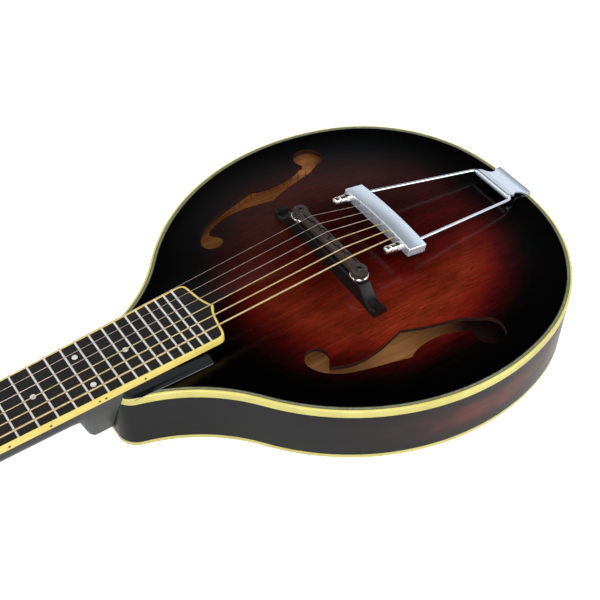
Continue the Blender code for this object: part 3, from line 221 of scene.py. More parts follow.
def burstLook():
    # dark round the edge; painted shade darkens the treble side so the bass side is brightest, and painted shade
    # under the strings and the tailpiece bar turns the middle wine red
    look, tree, shader = newLook("stainedTop", Roughness=0.5, Coat_Weight=0.42, Coat_Roughness=0.17,
                                 Specular_IOR_Level=0.0)
    place = objectPlace(tree)

    def distance(centre, reach):
        away = vectors(tree, "DIVIDE", vectors(tree, "SUBTRACT", place, centre), reach)
        return vectors(tree, "LENGTH", vectors(tree, "MULTIPLY", away, (1, 1, 0)))

    wander = maths(tree, "MULTIPLY", maths(tree, "ADD", grain(tree, (12, 26, 12), 3.0), -0.5), burst["wander"])
    share = maths(tree, "ADD", distance(burst["centre"], burst["reach"]), wander)
    farthest = burst["stainAndShade"][-1][0]
    colour = ramp(tree, maths(tree, "MULTIPLY", share, 1 / farthest),
                  [(spot / farthest, paint(*shade)) for spot, shade in burst["stainAndShade"]])
    # painted shade: the treble side darkened and slightly greyed by a painted sheen
    colour = times(tree, colour, ramp(tree, axisShare(tree, 1, -75 * mm, 62 * mm), burst["trebleSide"]))
    # painted shade under the strings and the tailpiece bar, turning the middle wine red
    barShade = ramp(tree, distance(burst["barShadeCentre"], burst["barShadeReach"]), greys((0.45, 1.0), (1.0, 0.0)))
    colour = blend(tree, barShade, colour, times(tree, colour, burst["barShade"]))
    neckward = axisShare(tree, 0, 20 * mm, -60 * mm)
    colour = blend(tree, neckward, colour, times(tree, colour, burst["neck"]))
    for *noise, levels in burst["layers"]:
        colour = times(tree, colour, ramp(tree, grain(tree, *noise), greys(*levels)))
    tree.links.new(colour, shader.inputs["Base Color"])
    bump(tree, shader, grain(tree, (9, 520, 300), 3.0), 0.012 * mm)
    return look


def sideLook():
    # black at both edges and at the neck, reddish brown round the hips
    look, tree, shader = newLook("stainedSides", Roughness=0.35, Coat_Weight=0.6, Coat_Roughness=0.05,
                                 Specular_IOR_Level=0.1)
    band = maths(tree, "MULTIPLY", axisShare(tree, 2, 2 * mm, 22 * mm), axisShare(tree, 2, 47 * mm, 27 * mm))
    band = maths(tree, "MULTIPLY", band, axisShare(tree, 0, -90 * mm, 60 * mm))
    band = times(tree, band, ramp(tree, grain(tree, (26, 26, 40), 2.0), greys((0.35, 0.35), (0.65, 1.0))))
    colour = ramp(tree, band, ((0.0, paint(4, 4, 4)), (0.4, paint(46, 17, 14)), (0.9, paint(98, 42, 33))))
    lines = ramp(tree, grain(tree, (14, 14, 620)), greys((0.3, 0.75), (0.7, 1.2)))
    tree.links.new(times(tree, colour, lines), shader.inputs["Base Color"])
    bump(tree, shader, grain(tree, (14, 14, 620), 3.0), 0.01 * mm)
    return look


def bareLook():
    # pale inner wood, with painted shade darkening it inside the body near the bass eye by the tail
    look, tree, shader = newLook("bareWood", Roughness=0.7)
    pattern = grain(tree, (16, 380, 260))
    colour = ramp(tree, pattern, ((0.3, paint(184, 118, 66)), (0.7, paint(228, 166, 102))))
    # painted shade: the wood darkens to wine brown near this point inside the body
    away = vectors(tree, "DISTANCE", objectPlace(tree), (92 * mm, -80 * mm, 4 * mm))
    stainAndShade = ease(tree, away, 16 * mm, 46 * mm, 1.0, 0.0)
    tree.links.new(blend(tree, stainAndShade, colour, paint(40, 16, 12)), shader.inputs["Base Color"])
    bump(tree, shader, pattern, 0.05 * mm)
    return look


def metalLook(name, colour, roughness, brushed=(400, 400, 400), spread=0.08):
    look, tree, shader = newLook(name, Metallic=1.0)
    haze = grain(tree, brushed, 3.0)
    tint = paint(*colour)
    dull = (*[c * 0.92 for c in tint[:3]], 1)
    tree.links.new(ramp(tree, haze, ((0.3, dull), (0.7, tint))), shader.inputs["Base Color"])
    rough = greys((0.3, max(0.02, roughness - spread / 2)), (0.7, roughness + spread / 2))
    tree.links.new(ramp(tree, haze, rough), shader.inputs["Roughness"])
    bump(tree, shader, haze, 0.004 * mm)
    return look


def pearlLook():
    look, tree, shader = newLook("pearl", Roughness=0.2, Coat_Weight=0.6)
    swirl = grain(tree, (700, 700, 700), 3.0, 0.5, 1.5)
    colours = ((0.3, paint(176, 180, 176)), (0.5, paint(222, 224, 218)), (0.7, paint(240, 238, 226)))
    tree.links.new(ramp(tree, swirl, colours), shader.inputs["Base Color"])
    return look


def windingLook():
    # fine turns of bronze across the string
    look, tree, shader = newLook("woundString", Metallic=1.0, Roughness=0.42)
    turns = node(tree, "ShaderNodeTexWave", {"Vector": objectPlace(tree), "Scale": 780.0},
                 bands_direction="X").outputs["Fac"]
    colour = ramp(tree, turns, ((0.1, paint(186, 154, 104)), (0.6, paint(244, 222, 172))))
    tree.links.new(colour, shader.inputs["Base Color"])
    bump(tree, shader, turns, 0.08 * mm)
    return look


looks = dict(
    top=burstLook(), side=sideLook(), bare=bareLook(), wound=windingLook(), pearl=pearlLook(),
    nickel=metalLook("nickel", (226, 222, 214), 0.2),
    chrome=metalLook("chrome", (232, 238, 246), 0.08, (60, 60, 60), 0.04),
    steel=metalLook("steel", (198, 198, 200), 0.28, (900, 200, 200)),
    plain=metalLook("plainString", (222, 196, 186), 0.36, (200, 900, 900)),
    darkSteel=metalLook("darkSteel", (84, 78, 76), 0.4, (500, 500, 200)),
)
# darker and lighter colour, stretch, range of roughness, bump in mm, other sockets
fleckedLooks = dict(
    cream=((214, 200, 106), (230, 221, 130), (40, 40, 40), (0.28, 0.36), 0.01, dict(Coat_Weight=0.5)),
    boardBinding=((226, 200, 100), (240, 220, 126), (60, 60, 60), (0.28, 0.38), 0.01, dict(Coat_Weight=0.4)),
    purfling=((104, 108, 84), (140, 142, 112), (300, 300, 300), (0.3, 0.4), 0.01, dict(Coat_Weight=0.6)),
    blackLacquer=((4, 4, 4), (9, 8, 8), (30, 30, 30), (0.2, 0.3), 0.004,
                  dict(Coat_Weight=0.5, Specular_IOR_Level=0.1)),
    neckSatin=((26, 26, 25), (38, 38, 36), (24, 60, 60), (0.36, 0.46), 0.004,
               dict(Coat_Weight=0.5, Coat_Roughness=0.35)),
    ebony=((16, 15, 14), (36, 34, 32), (24, 900, 500), (0.42, 0.6), 0.03, dict(Specular_IOR_Level=0.3)),
    bridgeWood=((10, 8, 8), (24, 20, 19), (600, 60, 400), (0.3, 0.45), 0.03, dict(Specular_IOR_Level=0.3)),
    saddleWood=((36, 30, 27), (72, 62, 56), (500, 50, 500), (0.4, 0.55), 0.03, dict(Specular_IOR_Level=0.3)),
    holeEdge=((26, 12, 9), (60, 28, 17), (60, 60, 900), (0.45, 0.6), 0.05, {}),
    bone=((226, 216, 190), (240, 233, 214), (120, 120, 60), (0.3, 0.42), 0.01, {}),
    satinChrome=((228, 237, 249), (236, 245, 255), (90, 90, 90), (0.26, 0.28), 0, dict(Metallic=0.72)),
    fretWire=((238, 234, 226), (252, 250, 244), (900, 120, 400), (0.3, 0.42), 0.002, dict(Metallic=0.45)),
    # grey: a painted highlight along the riser's foot
    edgeSheen=((96, 96, 98), (132, 132, 134), (90, 90, 90), (0.3, 0.4), 0.004, {}),
    # black: painted shade along the saddle's zigzag
    saddleShade=((3, 3, 3), (6, 6, 6), (200, 200, 200), (0.6, 0.7), 0.01, dict(Specular_IOR_Level=0.05)),
    blackLine=((7, 7, 7), (14, 13, 13), (200, 200, 200), (0.3, 0.45), 0.01, {}),
)
for name, (*facts, sockets) in fleckedLooks.items():
    looks[name] = flecked(name, *facts, **sockets)
print("materials made:", len(looks))


# Mesh helpers

def unique(items):
    # in their own order, so that every run builds the same mesh
    return list(dict.fromkeys(items))


def chain(bm, points, closed=False):
    verts = [bm.verts.new(point) for point in points]
    edges = [bm.edges.new(pair) for pair in zip(verts, verts[1:])]
    if closed:
        edges.append(bm.edges.new((verts[-1], verts[0])))
    return edges


def pull(bm, ring, move):
    # a ring of edges is extruded and its new vertices moved
    made = bmesh.ops.extrude_edge_only(bm, edges=ring)["geom"]
    for vert in made:
        if isinstance(vert, bmesh.types.BMVert):
            move(vert)
    return [item for item in made if isinstance(item, bmesh.types.BMEdge)]


def loft(bm, sections, closed=True):
    # the first section pulled on to each of the others, both ends filled
    order = bm.verts.layers.int.get("order") or bm.verts.layers.int.new("order")
    first = ring = chain(bm, sections[0], closed)
    for vert in unique(vert for edge in ring for vert in edge.verts):
        vert[order] = min(range(len(sections[0])), key=lambda i: (Vector(sections[0][i]) - vert.co).length)
    for section in sections[1:]:
        ring = pull(bm, ring, lambda vert: setattr(vert, "co", section[vert[order]]))
    if closed:
        for end in (first, ring):
            bmesh.ops.contextual_create(bm, geom=end)


def lathe(bm, profile, steps=32, place=Matrix()):
    # a profile of (radius, height) spun round Z
    before = set(bm.verts)
    edges = chain(bm, [(radius, 0, height) for radius, height in profile])
    verts = unique(vert for edge in edges for vert in edge.verts)
    bmesh.ops.spin(bm, geom=verts + edges, cent=(0, 0, 0), axis=(0, 0, 1), dvec=(0, 0, 0), angle=2 * math.pi,
                   steps=steps, use_merge=True)
    bmesh.ops.remove_doubles(bm, verts=[vert for vert in bm.verts if vert not in before], dist=weld)
    bmesh.ops.transform(bm, matrix=place, verts=[vert for vert in bm.verts if vert not in before])


def rod(bm, radius, depth, place, segments=16):
    bmesh.ops.create_cone(bm, cap_ends=True, segments=segments, radius1=radius, radius2=radius, depth=depth,
                          matrix=place)


def slab(bm, points, low, high):
    # a flat outline filled and pulled up
    edges = chain(bm, [(x, y, low) for x, y in points], True)
    face = bmesh.ops.contextual_create(bm, geom=edges)["faces"]
    raised = bmesh.ops.extrude_face_region(bm, geom=face, use_keep_orig=True)["geom"]
    verts = [item for item in raised if isinstance(item, bmesh.types.BMVert)]
    bmesh.ops.translate(bm, verts=verts, vec=(0, 0, high - low))


def block(bm, low, high):
    size = [b - a for a, b in zip(low, high)]
    middle = [(a + b) / 2 for a, b in zip(low, high)]
    bmesh.ops.create_cube(bm, size=1, matrix=at(*middle) @ Matrix.Diagonal((*size, 1)))


def soften(bm, width, segments=2, angle=30, keep=lambda edge: True):
    # bevels the edges that turn by more than the angle
    edges = [edge for edge in bm.edges if len(edge.link_faces) == 2
             and edge.calc_face_angle(0) > math.radians(angle) and keep(edge)]
    bmesh.ops.bevel(bm, geom=edges, offset=width, offset_type="OFFSET", segments=segments, profile=0.5,
                    affect="EDGES", clamp_overlap=True, material=-1)


def above(height):
    return lambda edge: all(vert.co.z > height for vert in edge.verts)


def below(height):
    return lambda edge: all(vert.co.z < height for vert in edge.verts)


def cutAway(bm, point, way):
    # what lies behind the plane goes
    bmesh.ops.bisect_plane(bm, geom=bm.verts[:] + bm.edges[:] + bm.faces[:], dist=1e-7, plane_co=point,
                           plane_no=way, clear_inner=True)


def smoothPath(points, steps):
    padded = [points[0], *points, points[-1]]
    path = []
    for before, start, end, after in zip(padded, padded[1:], padded[2:], padded[3:]):
        for i in range(steps):
            t = i / steps
            path.append(tuple(0.5 * (2 * b + (c - a) * t + (2 * a - 5 * b + 4 * c - d) * t ** 2
                                     + (3 * b - a - 3 * c + d) * t ** 3)
                              for a, b, c, d in zip(before, start, end, after)))
    return path + [tuple(points[-1])]


def insetLoop(loop, distance):
    # a counter-clockwise loop moved inward
    moved = []
    for i, here in enumerate(loop):
        here, before, after = Vector(here), Vector(loop[i - 1]), Vector(loop[(i + 1) % len(loop)])
        first, second = (here - before).normalized(), (after - here).normalized()
        side = Vector((-first.y - second.y, first.x + second.x)).normalized()
        moved.append(tuple(here + side * distance / max(0.3, side.dot(Vector((-first.y, first.x))))))
    return moved


def shade(mesh, sharp):
    # smooth, with an edge where it turns by more than so many degrees
    bm = bmesh.new()
    bm.from_mesh(mesh)
    for face in bm.faces:
        face.smooth = True
    for edge in bm.edges:
        edge.smooth = len(edge.link_faces) == 2 and edge.calc_face_angle(0) < math.radians(sharp)
    bm.to_mesh(mesh)
    bm.free()


def faceOut(bm):
    bmesh.ops.remove_doubles(bm, verts=bm.verts, dist=weld)
    bmesh.ops.recalc_face_normals(bm, faces=bm.faces)
    if bm.calc_volume(signed=True) < 0:
        bmesh.ops.reverse_faces(bm, faces=bm.faces)


def meshObject(name, bm):
    mesh = bpy.data.meshes.new(name)
    bm.to_mesh(mesh)
    bm.free()
    made = bpy.data.objects.new(name, mesh)
    scene.collection.objects.link(made)
    return made


def addPiece(name, bm, look, stands, rides="root", place=Matrix(), sharp=35):
    bmesh.ops.transform(bm, matrix=place, verts=bm.verts)
    faceOut(bm)
    piece = meshObject(name, bm)
    piece.data.materials.append(looks[look])
    shade(piece.data, sharp)
    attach(piece, rides)
    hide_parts(stands)
    return piece


def settle(piece, sharp):
    # the modifiers' result becomes the mesh
    bpy.context.view_layer.update()
    shaped = bpy.data.meshes.new_from_object(piece.evaluated_get(bpy.context.evaluated_depsgraph_get()))
    piece.modifiers.clear()
    piece.data = shaped
    shade(shaped, sharp)


def carve(piece, bm, operation="DIFFERENCE", sharp=35):
    faceOut(bm)
    tool = meshObject("tool", bm)
    step = piece.modifiers.new("carve", "BOOLEAN")
    step.operation, step.solver, step.object = operation, "EXACT", tool
    settle(piece, sharp)
    bpy.data.objects.remove(tool)


def wire(points, radius, resolution=3):
    # a round wire along points, as a bmesh
    curve = bpy.data.curves.new("wire", "CURVE")
    curve.dimensions = "3D"
    curve.bevel_depth, curve.bevel_resolution, curve.use_fill_caps = radius, resolution, True
    spline = curve.splines.new("POLY")
    spline.points.add(len(points) - 1)
    for point, spot in zip(spline.points, points):
        point.co = (*spot, 1)
    holder = bpy.data.objects.new("wire", curve)
    scene.collection.objects.link(holder)
    bpy.context.view_layer.update()
    mesh = bpy.data.meshes.new_from_object(holder.evaluated_get(bpy.context.evaluated_depsgraph_get()))
    bpy.data.objects.remove(holder)
    bm = bmesh.new()
    bm.from_mesh(mesh)
    bpy.data.meshes.remove(mesh)
    return bm


# Body: outline and arch

def outlineRing(bm, inset, height, half=False):
    # one vertex spun along each arc of the treble half, then mirrored
    outward = bm.verts.layers.float_vector.get("outward") or bm.verts.layers.float_vector.new("outward")
    before = set(bm.verts)
    joint = Vector((body["tailX"] - 0.1 * mm, 0, height))
    end = bm.verts.new(joint - Vector((inset, 0, 0)))
    known = set(before)
    for radius, start, stop, bulge in body["arcs"]:
        reach = bulge * radius * mm * body["trim"]
        ways = [Vector((math.cos(math.radians(a)), math.sin(math.radians(a)), 0)) for a in (start, stop)]
        centre = joint - reach * ways[0]
        joint = centre + reach * ways[1]
        steps = max(3, round(abs(stop - start) / body["degreesPerStep"]))
        made = bmesh.ops.spin(bm, geom=[end], cent=centre, axis=(0, 0, 1), dvec=(0, 0, 0),
                              angle=math.radians(stop - start), steps=steps)
        end = next(item for item in made["geom_last"] if isinstance(item, bmesh.types.BMVert))
        for vert in bm.verts:
            if vert not in known:
                vert[outward] = (vert.co - centre) / (reach - inset)
                known.add(vert)
    end.co.y = 0
    verts = [vert for vert in bm.verts if vert not in before]
    edges = unique(edge for vert in verts for edge in vert.link_edges)
    if half:
        return edges
    bmesh.ops.mirror(bm, geom=verts + edges, matrix=Matrix(), merge_dist=0.02 * mm, axis="Y")
    whole = [vert for vert in bm.verts if vert not in before]
    for vert in whole:
        way = vert[outward]
        vert[outward] = (way.x, 0 if abs(vert.co.y) < 0.01 * mm else math.copysign(way.y, way.y * vert.co.y), 0)
    return unique(edge for vert in whole for edge in vert.link_edges)


def ringStack(bm, profile, closed=True, half=False):
    # the outline pulled through a profile of (inset, height)
    ring = outlineRing(bm, *profile[0], half)
    outward = bm.verts.layers.float_vector["outward"]
    rings = [ring]
    last = profile[0][0]
    for inset, height in (*profile[1:], *(profile[:1] if closed else ())):
        def move(vert):
            vert.co -= vert[outward] * (inset - last)
            vert.co.z = height
        ring = pull(bm, ring, move)
        rings.append(ring)
        last = inset
    return rings


probe = bmesh.new()
outlineRing(probe, body["archEdge"], 0)
archLoop = sorted((vert.co.xy.copy() for vert in probe.verts),
                  key=lambda p: math.atan2(p.y, p.x - body["archX"]))
probe.free()
frontX = min(p.x for p in archLoop) - body["archEdge"]


def rimShare(x, y):
    # 0 at the crest, 1 where the arch meets the purfling
    away = Vector((x - body["archX"], y))
    if away.length < 0.01 * mm:
        return 0.0
    for first, second in zip(archLoop, archLoop[1:] + archLoop[:1]):
        start = first - Vector((body["archX"], 0))
        edge = second - first
        base = away.x * edge.y - away.y * edge.x
        if abs(base) < 1e-12:
            continue
        reach = (start.x * edge.y - start.y * edge.x) / base
        along = (start.x * away.y - start.y * away.x) / base
        if reach > 0 and -1e-6 <= along <= 1 + 1e-6:
            return 1 / reach
    return 1.0


def archHeight(x, y):
    return body["rim"] + body["archRise"] * (1 - min(1, rimShare(x, y)) ** 2) ** 2


fHole = dict(
    neckEye=(-52.3, -66.5, 8.2, 190, -50), tailEye=(58.8, -108.5, 11.4, 75, -215),
    inner=((-49.0, -76.2), (-38.5, -81.2), (-27, -83.2), (-14.3, -82.5), (-4.5, -80.6), (7.0, -77.8)),
    innerTail=((7.0, -77.8), (22, -83.4), (36, -87.0), (50, -91.2), (60.5, -97.1)),
    outerTail=((47.6, -102.0), (37.4, -97.4), (25, -94.9), (13.6, -94.9), (6.8, -96.2), (0.3, -99.1)),
    outer=((0.3, -99.1), (-5.5, -97.5), (-13.3, -95.2), (-22.5, -93.0), (-33.5, -89.8), (-46, -84.6),
           (-55.5, -77.0), (-60.0, -69.5)),
)


def eyeArc(x, y, radius, start, stop, steps):
    turns = [math.radians(start + (stop - start) * i / steps) for i in range(steps + 1)]
    return [(x + radius * math.cos(a), y + radius * math.sin(a)) for a in turns]


def fHoleTool(side):
    runs = {key: smoothPath(fHole[key], 5) for key in ("inner", "innerTail", "outerTail", "outer")}
    loop = (runs["inner"][:-1] + runs["innerTail"][:-1] + eyeArc(*fHole["tailEye"], 30)
            + runs["outerTail"][:-1] + runs["outer"][:-1] + eyeArc(*fHole["neckEye"], 26))
    bm = bmesh.new()
    slab(bm, [(x * mm, side * -y * mm) for x, y in loop], 30 * mm, 70 * mm)
    bmesh.ops.triangulate(bm, faces=[face for face in bm.faces if len(face.verts) > 4])
    return bm


topSizes = dict(
    underside=43 * mm, shelf=46.7 * mm, land=12 * mm, thick=3 * mm, holeEdge=0.35 * mm,
    shares=(0.975, 0.95, 0.92, 0.88, 0.84, 0.79, 0.74, 0.68, 0.62, 0.56, 0.49, 0.42, 0.35, 0.28, 0.2, 0.12, 0.05),
    underShares=(0.95, 0.9, 0.82, 0.72, 0.6, 0.45, 0.3, 0.15),
)


def pullIn(bm, ring, shares, heightAt):
    # the ring is pulled towards the crest in steps, then closed at a point
    centre = at(-body["archX"], 0, 0)
    last = 1.0
    for share in (*shares, 0.0):
        ring = pull(bm, ring, lambda vert: None)
        verts = unique(vert for edge in ring for vert in edge.verts)
        if not share:
            bmesh.ops.pointmerge(bm, verts=verts, merge_co=(body["archX"], 0, heightAt(0)))
            return
        bmesh.ops.scale(bm, vec=(share / last, share / last, 1), space=centre, verts=verts)
        for vert in verts:
            vert.co.z = heightAt(share)
        last = share


def makeTop():
    bm = bmesh.new()
    edge, arch = body["topEdge"], body["archEdge"]
    rim, rise = body["rim"], body["archRise"]
    rings = ringStack(bm, ((topSizes["land"], topSizes["underside"]), (edge, topSizes["underside"]),
                           (edge, topSizes["shelf"]), (arch, topSizes["shelf"]), (arch, rim)), False)
    pullIn(bm, rings[-1], topSizes["shares"], lambda s: rim + rise * (1 - s * s) ** 2)
    pullIn(bm, rings[0], topSizes["underShares"],
           lambda s: rim + rise * (1 - (0.93 * s) ** 2) ** 2 - topSizes["thick"] - 2.2 * mm * s ** 6)
    top = addPiece("topPlate", bm, "top", "top_plate", sharp=50)
    for side in (1, -1):
        carve(top, fHoleTool(side), sharp=50)
    top.data.materials.append(looks["bare"])
    top.data.materials.append(looks["holeEdge"])
    for face in top.data.polygons:
        inside = rimShare(face.center.x, face.center.y) < 0.93
        if inside and face.normal.z < -0.3:
            face.material_index = 1
        elif inside and abs(face.normal.z) < 0.5:
            face.material_index = 2


def makeRim():
    rim, low, wide, foot = body["rim"], topSizes["underside"], body["binding"], body["backThick"]
    edges = {"top": ((wide, low), (0, low), (0, rim - 0.8 * mm), (0.1 * mm, rim - 0.4 * mm),
                     (0.35 * mm, rim - 0.12 * mm), (0.75 * mm, rim), (wide, rim)),
             "back": ((wide, 0), (0.9 * mm, 0), (0.35 * mm, 0.15 * mm), (0.1 * mm, 0.45 * mm), (0, 0.9 * mm),
                      (0, foot), (wide, foot))}
    for word, profile in edges.items():
        bm = bmesh.new()
        ringStack(bm, profile)
        addPiece(f"{word}Binding", bm, "cream", f"{word}_binding", sharp=40)
    strips = (("OuterLine", 1.62, 1.95, "blackLine"), ("Band", 1.96, 3.62, "purfling"),
              ("InnerLine", 3.63, 4.18, "blackLine"))
    for word, outer, inner, look in strips:
        bm = bmesh.new()
        ringStack(bm, [(inset * mm, rim - drop) for inset, drop in
                       ((outer, 0), (inner, 0), (inner, 2 * mm), (outer, 2 * mm))])
        addPiece(f"purfling{word}", bm, look, "top_purfling")
    bm = bmesh.new()
    for ring in ringStack(bm, ((body["topEdge"], 0), (body["topEdge"], foot)), False):
        bmesh.ops.contextual_create(bm, geom=ring)
    back = addPiece("backPlate", bm, "side", "back_plate")
    back.data.materials.append(looks["bare"])
    for face in back.data.polygons:
        face.material_index = 1 if face.normal.z > 0.5 else 0


def makeSides():
    low, high, thick = body["backThick"] + gap, topSizes["underside"] - gap, body["sideThick"]
    for name, cad, side in (("trebleSide", "treble_side", 1), ("bassSide", "bass_side", -1)):
        bm = bmesh.new()
        ringStack(bm, ((0, low), (0, high), (thick, high), (thick, low)), half=True)
        bmesh.ops.remove_doubles(bm, verts=bm.verts, dist=weld)
        # at the tail the sides nearly meet, at the neck they leave room for the tenon
        for chosen, place in ((lambda v: v.co.x > 0, gap / 2), (lambda v: v.co.x < 0, body["neckCut"])):
            verts = [vert for vert in bm.verts if chosen(vert)]
            edges = [edge for edge in bm.edges if all(chosen(v) for v in edge.verts)]
            faces = [face for face in bm.faces if all(chosen(v) for v in face.verts)]
            bmesh.ops.bisect_plane(bm, geom=verts + edges + faces, dist=1e-7, plane_co=(0, place, 0),
                                   plane_no=(0, 1, 0), clear_inner=True)
        bmesh.ops.holes_fill(bm, edges=bm.edges, sides=0)
        if side < 0:
            bmesh.ops.scale(bm, vec=(1, -1, 1), verts=bm.verts)
        piece = addPiece(name, bm, "side", cad)
        piece.data.materials.append(looks["bare"])
        centre = Vector((body["archX"], 0, 0))
        for face in piece.data.polygons:
            away = face.center - centre
            face.material_index = 1 if abs(face.normal.z) < 0.5 and face.normal.dot(away) < 0 else 0


makeTop()
makeRim()
makeSides()
print("body made")


# Neck, headstock and fretboard, in the neck's own frame

def fretX(number):
    return -board["scale"] * 2 ** (-number / 12)


sideX = fretX(board["frets"]) + board["pastFret"]      # where the board's sides round in


def boardHalf(x):
    share = (x + board["scale"]) / (sideX + board["scale"])
    return (board["nutWidth"] + (board["endWidth"] - board["nutWidth"]) * share) / 2


def boardLoop(inset=0.0):
    # counter-clockwise from the nut's bass corner to its treble corner
    wide, reach = board["endWidth"] / 2, board["endReach"]
    shape = ((0, 1), (0.22, 0.985), (0.38, 0.93), (0.47, 0.83), (0.55, 0.62), (0.68, 0.32), (0.86, 0.1), (1, 0))
    bass = [(sideX + reach * a, -wide * b) for a, b in smoothPath(shape, 3)]
    bass = [(-board["scale"], -board["nutWidth"] / 2)] + bass
    loop = bass + [(x, -y) for x, y in reversed(bass[:-1])]
    if inset:
        moved = insetLoop(loop, inset)
        moved[0], moved[-1] = (loop[0][0], moved[0][1]), (loop[-1][0], moved[-1][1])
        return moved
    return loop


neckSizes = dict(
    depthNut=15 * mm, depthBody=17.5 * mm, heelDepth=51.5 * mm, heelLength=34 * mm, capShare=0.31, around=28,
    # share of the heel's length, swell towards its full depth, how straight the flanks are
    heel=((0, 0, 0), (0.12, 0.03, 0.05), (0.23, 0.15, 0.25), (0.32, 0.45, 0.6), (0.4, 0.8, 0.85), (0.49, 0.96, 1.0),
          (0.61, 1.0, 1.0), (1.5, 1.0, 1.0)),
)
head = dict(
    length=142 * mm, thick=12.5 * mm, veneer=1.5 * mm,
    shape=((0.02, 21.5), (-0.06, 21.5), (-0.1, 21.6), (-0.125, 22.6), (-0.155, 27.6), (-0.18, 32.2), (-0.21, 33.7),
           (-0.3, 33.3), (-0.6, 30.8), (-0.9, 28.3), (-0.955, 27.2), (-0.982, 23.5), (-0.996, 17), (-0.982, 8),
           (-0.967, 0)),
)


def headLoop():
    half = smoothPath([(share * head["length"], y * mm) for share, y in head["shape"]], 3)
    return half + [(x, -y) for x, y in reversed(half[:-1])]


def neckSection(x, top, half, depth, fullness, taper=0.0):
    points = [(x, half, top)]
    for i in range(1, neckSizes["around"]):
        across = math.cos(math.pi * i / neckSizes["around"])
        down = math.sin(math.pi * i / neckSizes["around"]) ** 0.9
        cap = min(1.0, abs(across) / 0.3) ** 0.5      # the cap's rounded corners
        heel = (1 - (1 - neckSizes["capShare"]) * down ** 1.25) * cap
        share = abs(across) ** fullness
        share += (heel - share) * taper
        points.append((x, half * math.copysign(share, across), top - 1.5 * mm - (depth - 1.5 * mm) * down))
    return points + [(x, -half, top)]


def makeNeck():
    top = -board["thick"] - gap
    nutX = -board["scale"] - board["nut"]
    heelX = frontX / math.cos(board["tilt"]) - neckSizes["heelLength"]
    half = board["nutWidth"] / 2
    sections = [neckSection(nutX - 8 * mm, top - 4.5 * mm, half, head["thick"] - 3 * mm, 0.8),
                neckSection(nutX - 3 * mm, top - 1.2 * mm, half, neckSizes["depthNut"] - 1.2 * mm, 0.77)]
    for i in range(11):
        x = nutX + (heelX - nutX) * i / 10
        depth = neckSizes["depthNut"] + (neckSizes["depthBody"] - neckSizes["depthNut"]) * i / 10
        sections.append(neckSection(x, top, boardHalf(max(x, -board["scale"])), depth, 0.75))
    for share, swell, taper in smoothPath(neckSizes["heel"], 3)[1:]:
        x = heelX + neckSizes["heelLength"] * share
        depth = neckSizes["depthBody"] + (neckSizes["heelDepth"] - neckSizes["depthBody"]) * swell
        sections.append(neckSection(x, top, boardHalf(x), depth, 0.75, clamp(taper)))
    bm = bmesh.new()
    loft(bm, sections)
    neck = addPiece("neck", bm, "neckSatin", "neck", place=neckPlace, sharp=50)
    bm = bmesh.new()
    for ring in ringStack(bm, ((-gap, -10 * mm), (-gap, 90 * mm)), False):
        bmesh.ops.contextual_create(bm, geom=ring)
    carve(neck, bm, sharp=50)
    face = -head["veneer"] - 0.02 * mm
    bm = bmesh.new()
    slab(bm, headLoop(), face - head["thick"] - 0.28 * mm, face)
    soften(bm, 1.4 * mm, 3, 60, below(face - 5 * mm))
    bmesh.ops.transform(bm, matrix=headPlace, verts=bm.verts)
    carve(neck, bm, "UNION", 50)
    bm = bmesh.new()
    block(bm, (-0.3, -0.1, face), (0, 0.1, 0.1))
    bmesh.ops.transform(bm, matrix=headPlace, verts=bm.verts)
    carve(neck, bm, sharp=50)


def makeHeadstockTrim():
    bm = bmesh.new()
    slab(bm, [(min(x, -gap), y) for x, y in headLoop()], -head["veneer"], 0)
    soften(bm, 0.4 * mm, 2, 60, lambda edge: all(v.co.z > -0.1 * mm and v.co.x < -gap - 0.1 * mm
                                                 for v in edge.verts))
    addPiece("headstockVeneer", bm, "blackLacquer", "headstock_veneer", place=headPlace)
    bell = smoothPath([(-2, -9), (-2, -4), (-2, 4), (-2, 9), (-8, 8.9), (-14, 8), (-20, 6), (-30, 4), (-34, 0),
                       (-30, -4), (-20, -6), (-14, -8), (-8, -8.9), (-2, -9)], 3)[:-1]
    bm = bmesh.new()
    slab(bm, [(x * mm, y * mm) for x, y in bell], 0.1 * mm, 1.9 * mm)
    soften(bm, 0.6 * mm, 2, 60, above(1 * mm))
    addPiece("trussRodCover", bm, "blackLacquer", "truss_rod_cover", place=headPlace)
    bm = bmesh.new()
    for x, y in ((-6, -5.5), (-6, 5.5), (-30, 0)):
        screwHead(bm, at(x * mm, y * mm, 1.7 * mm), 1.6 * mm)
    addPiece("trussCoverScrews", bm, "nickel", "truss_rod_cover", place=headPlace)


def screwHead(bm, place, radius):
    # a domed head with a cross cut pressed into it
    before = set(bm.verts)
    shape = ((0, 0.46), (0.3, 0.45), (0.6, 0.36), (0.86, 0.2), (1, 0), (1, -0.25), (0, -0.25))
    lathe(bm, [(out * radius, up * radius) for out, up in shape], 20)
    made = [vert for vert in bm.verts if vert not in before]
    for vert in made:
        reach = math.hypot(vert.co.x, vert.co.y)
        if vert.co.z > 0.3 * radius and reach < 0.7 * radius:
            if min(abs(vert.co.x), abs(vert.co.y)) < 0.12 * radius:
                vert.co.z -= 0.3 * radius
    bmesh.ops.transform(bm, matrix=place, verts=made)


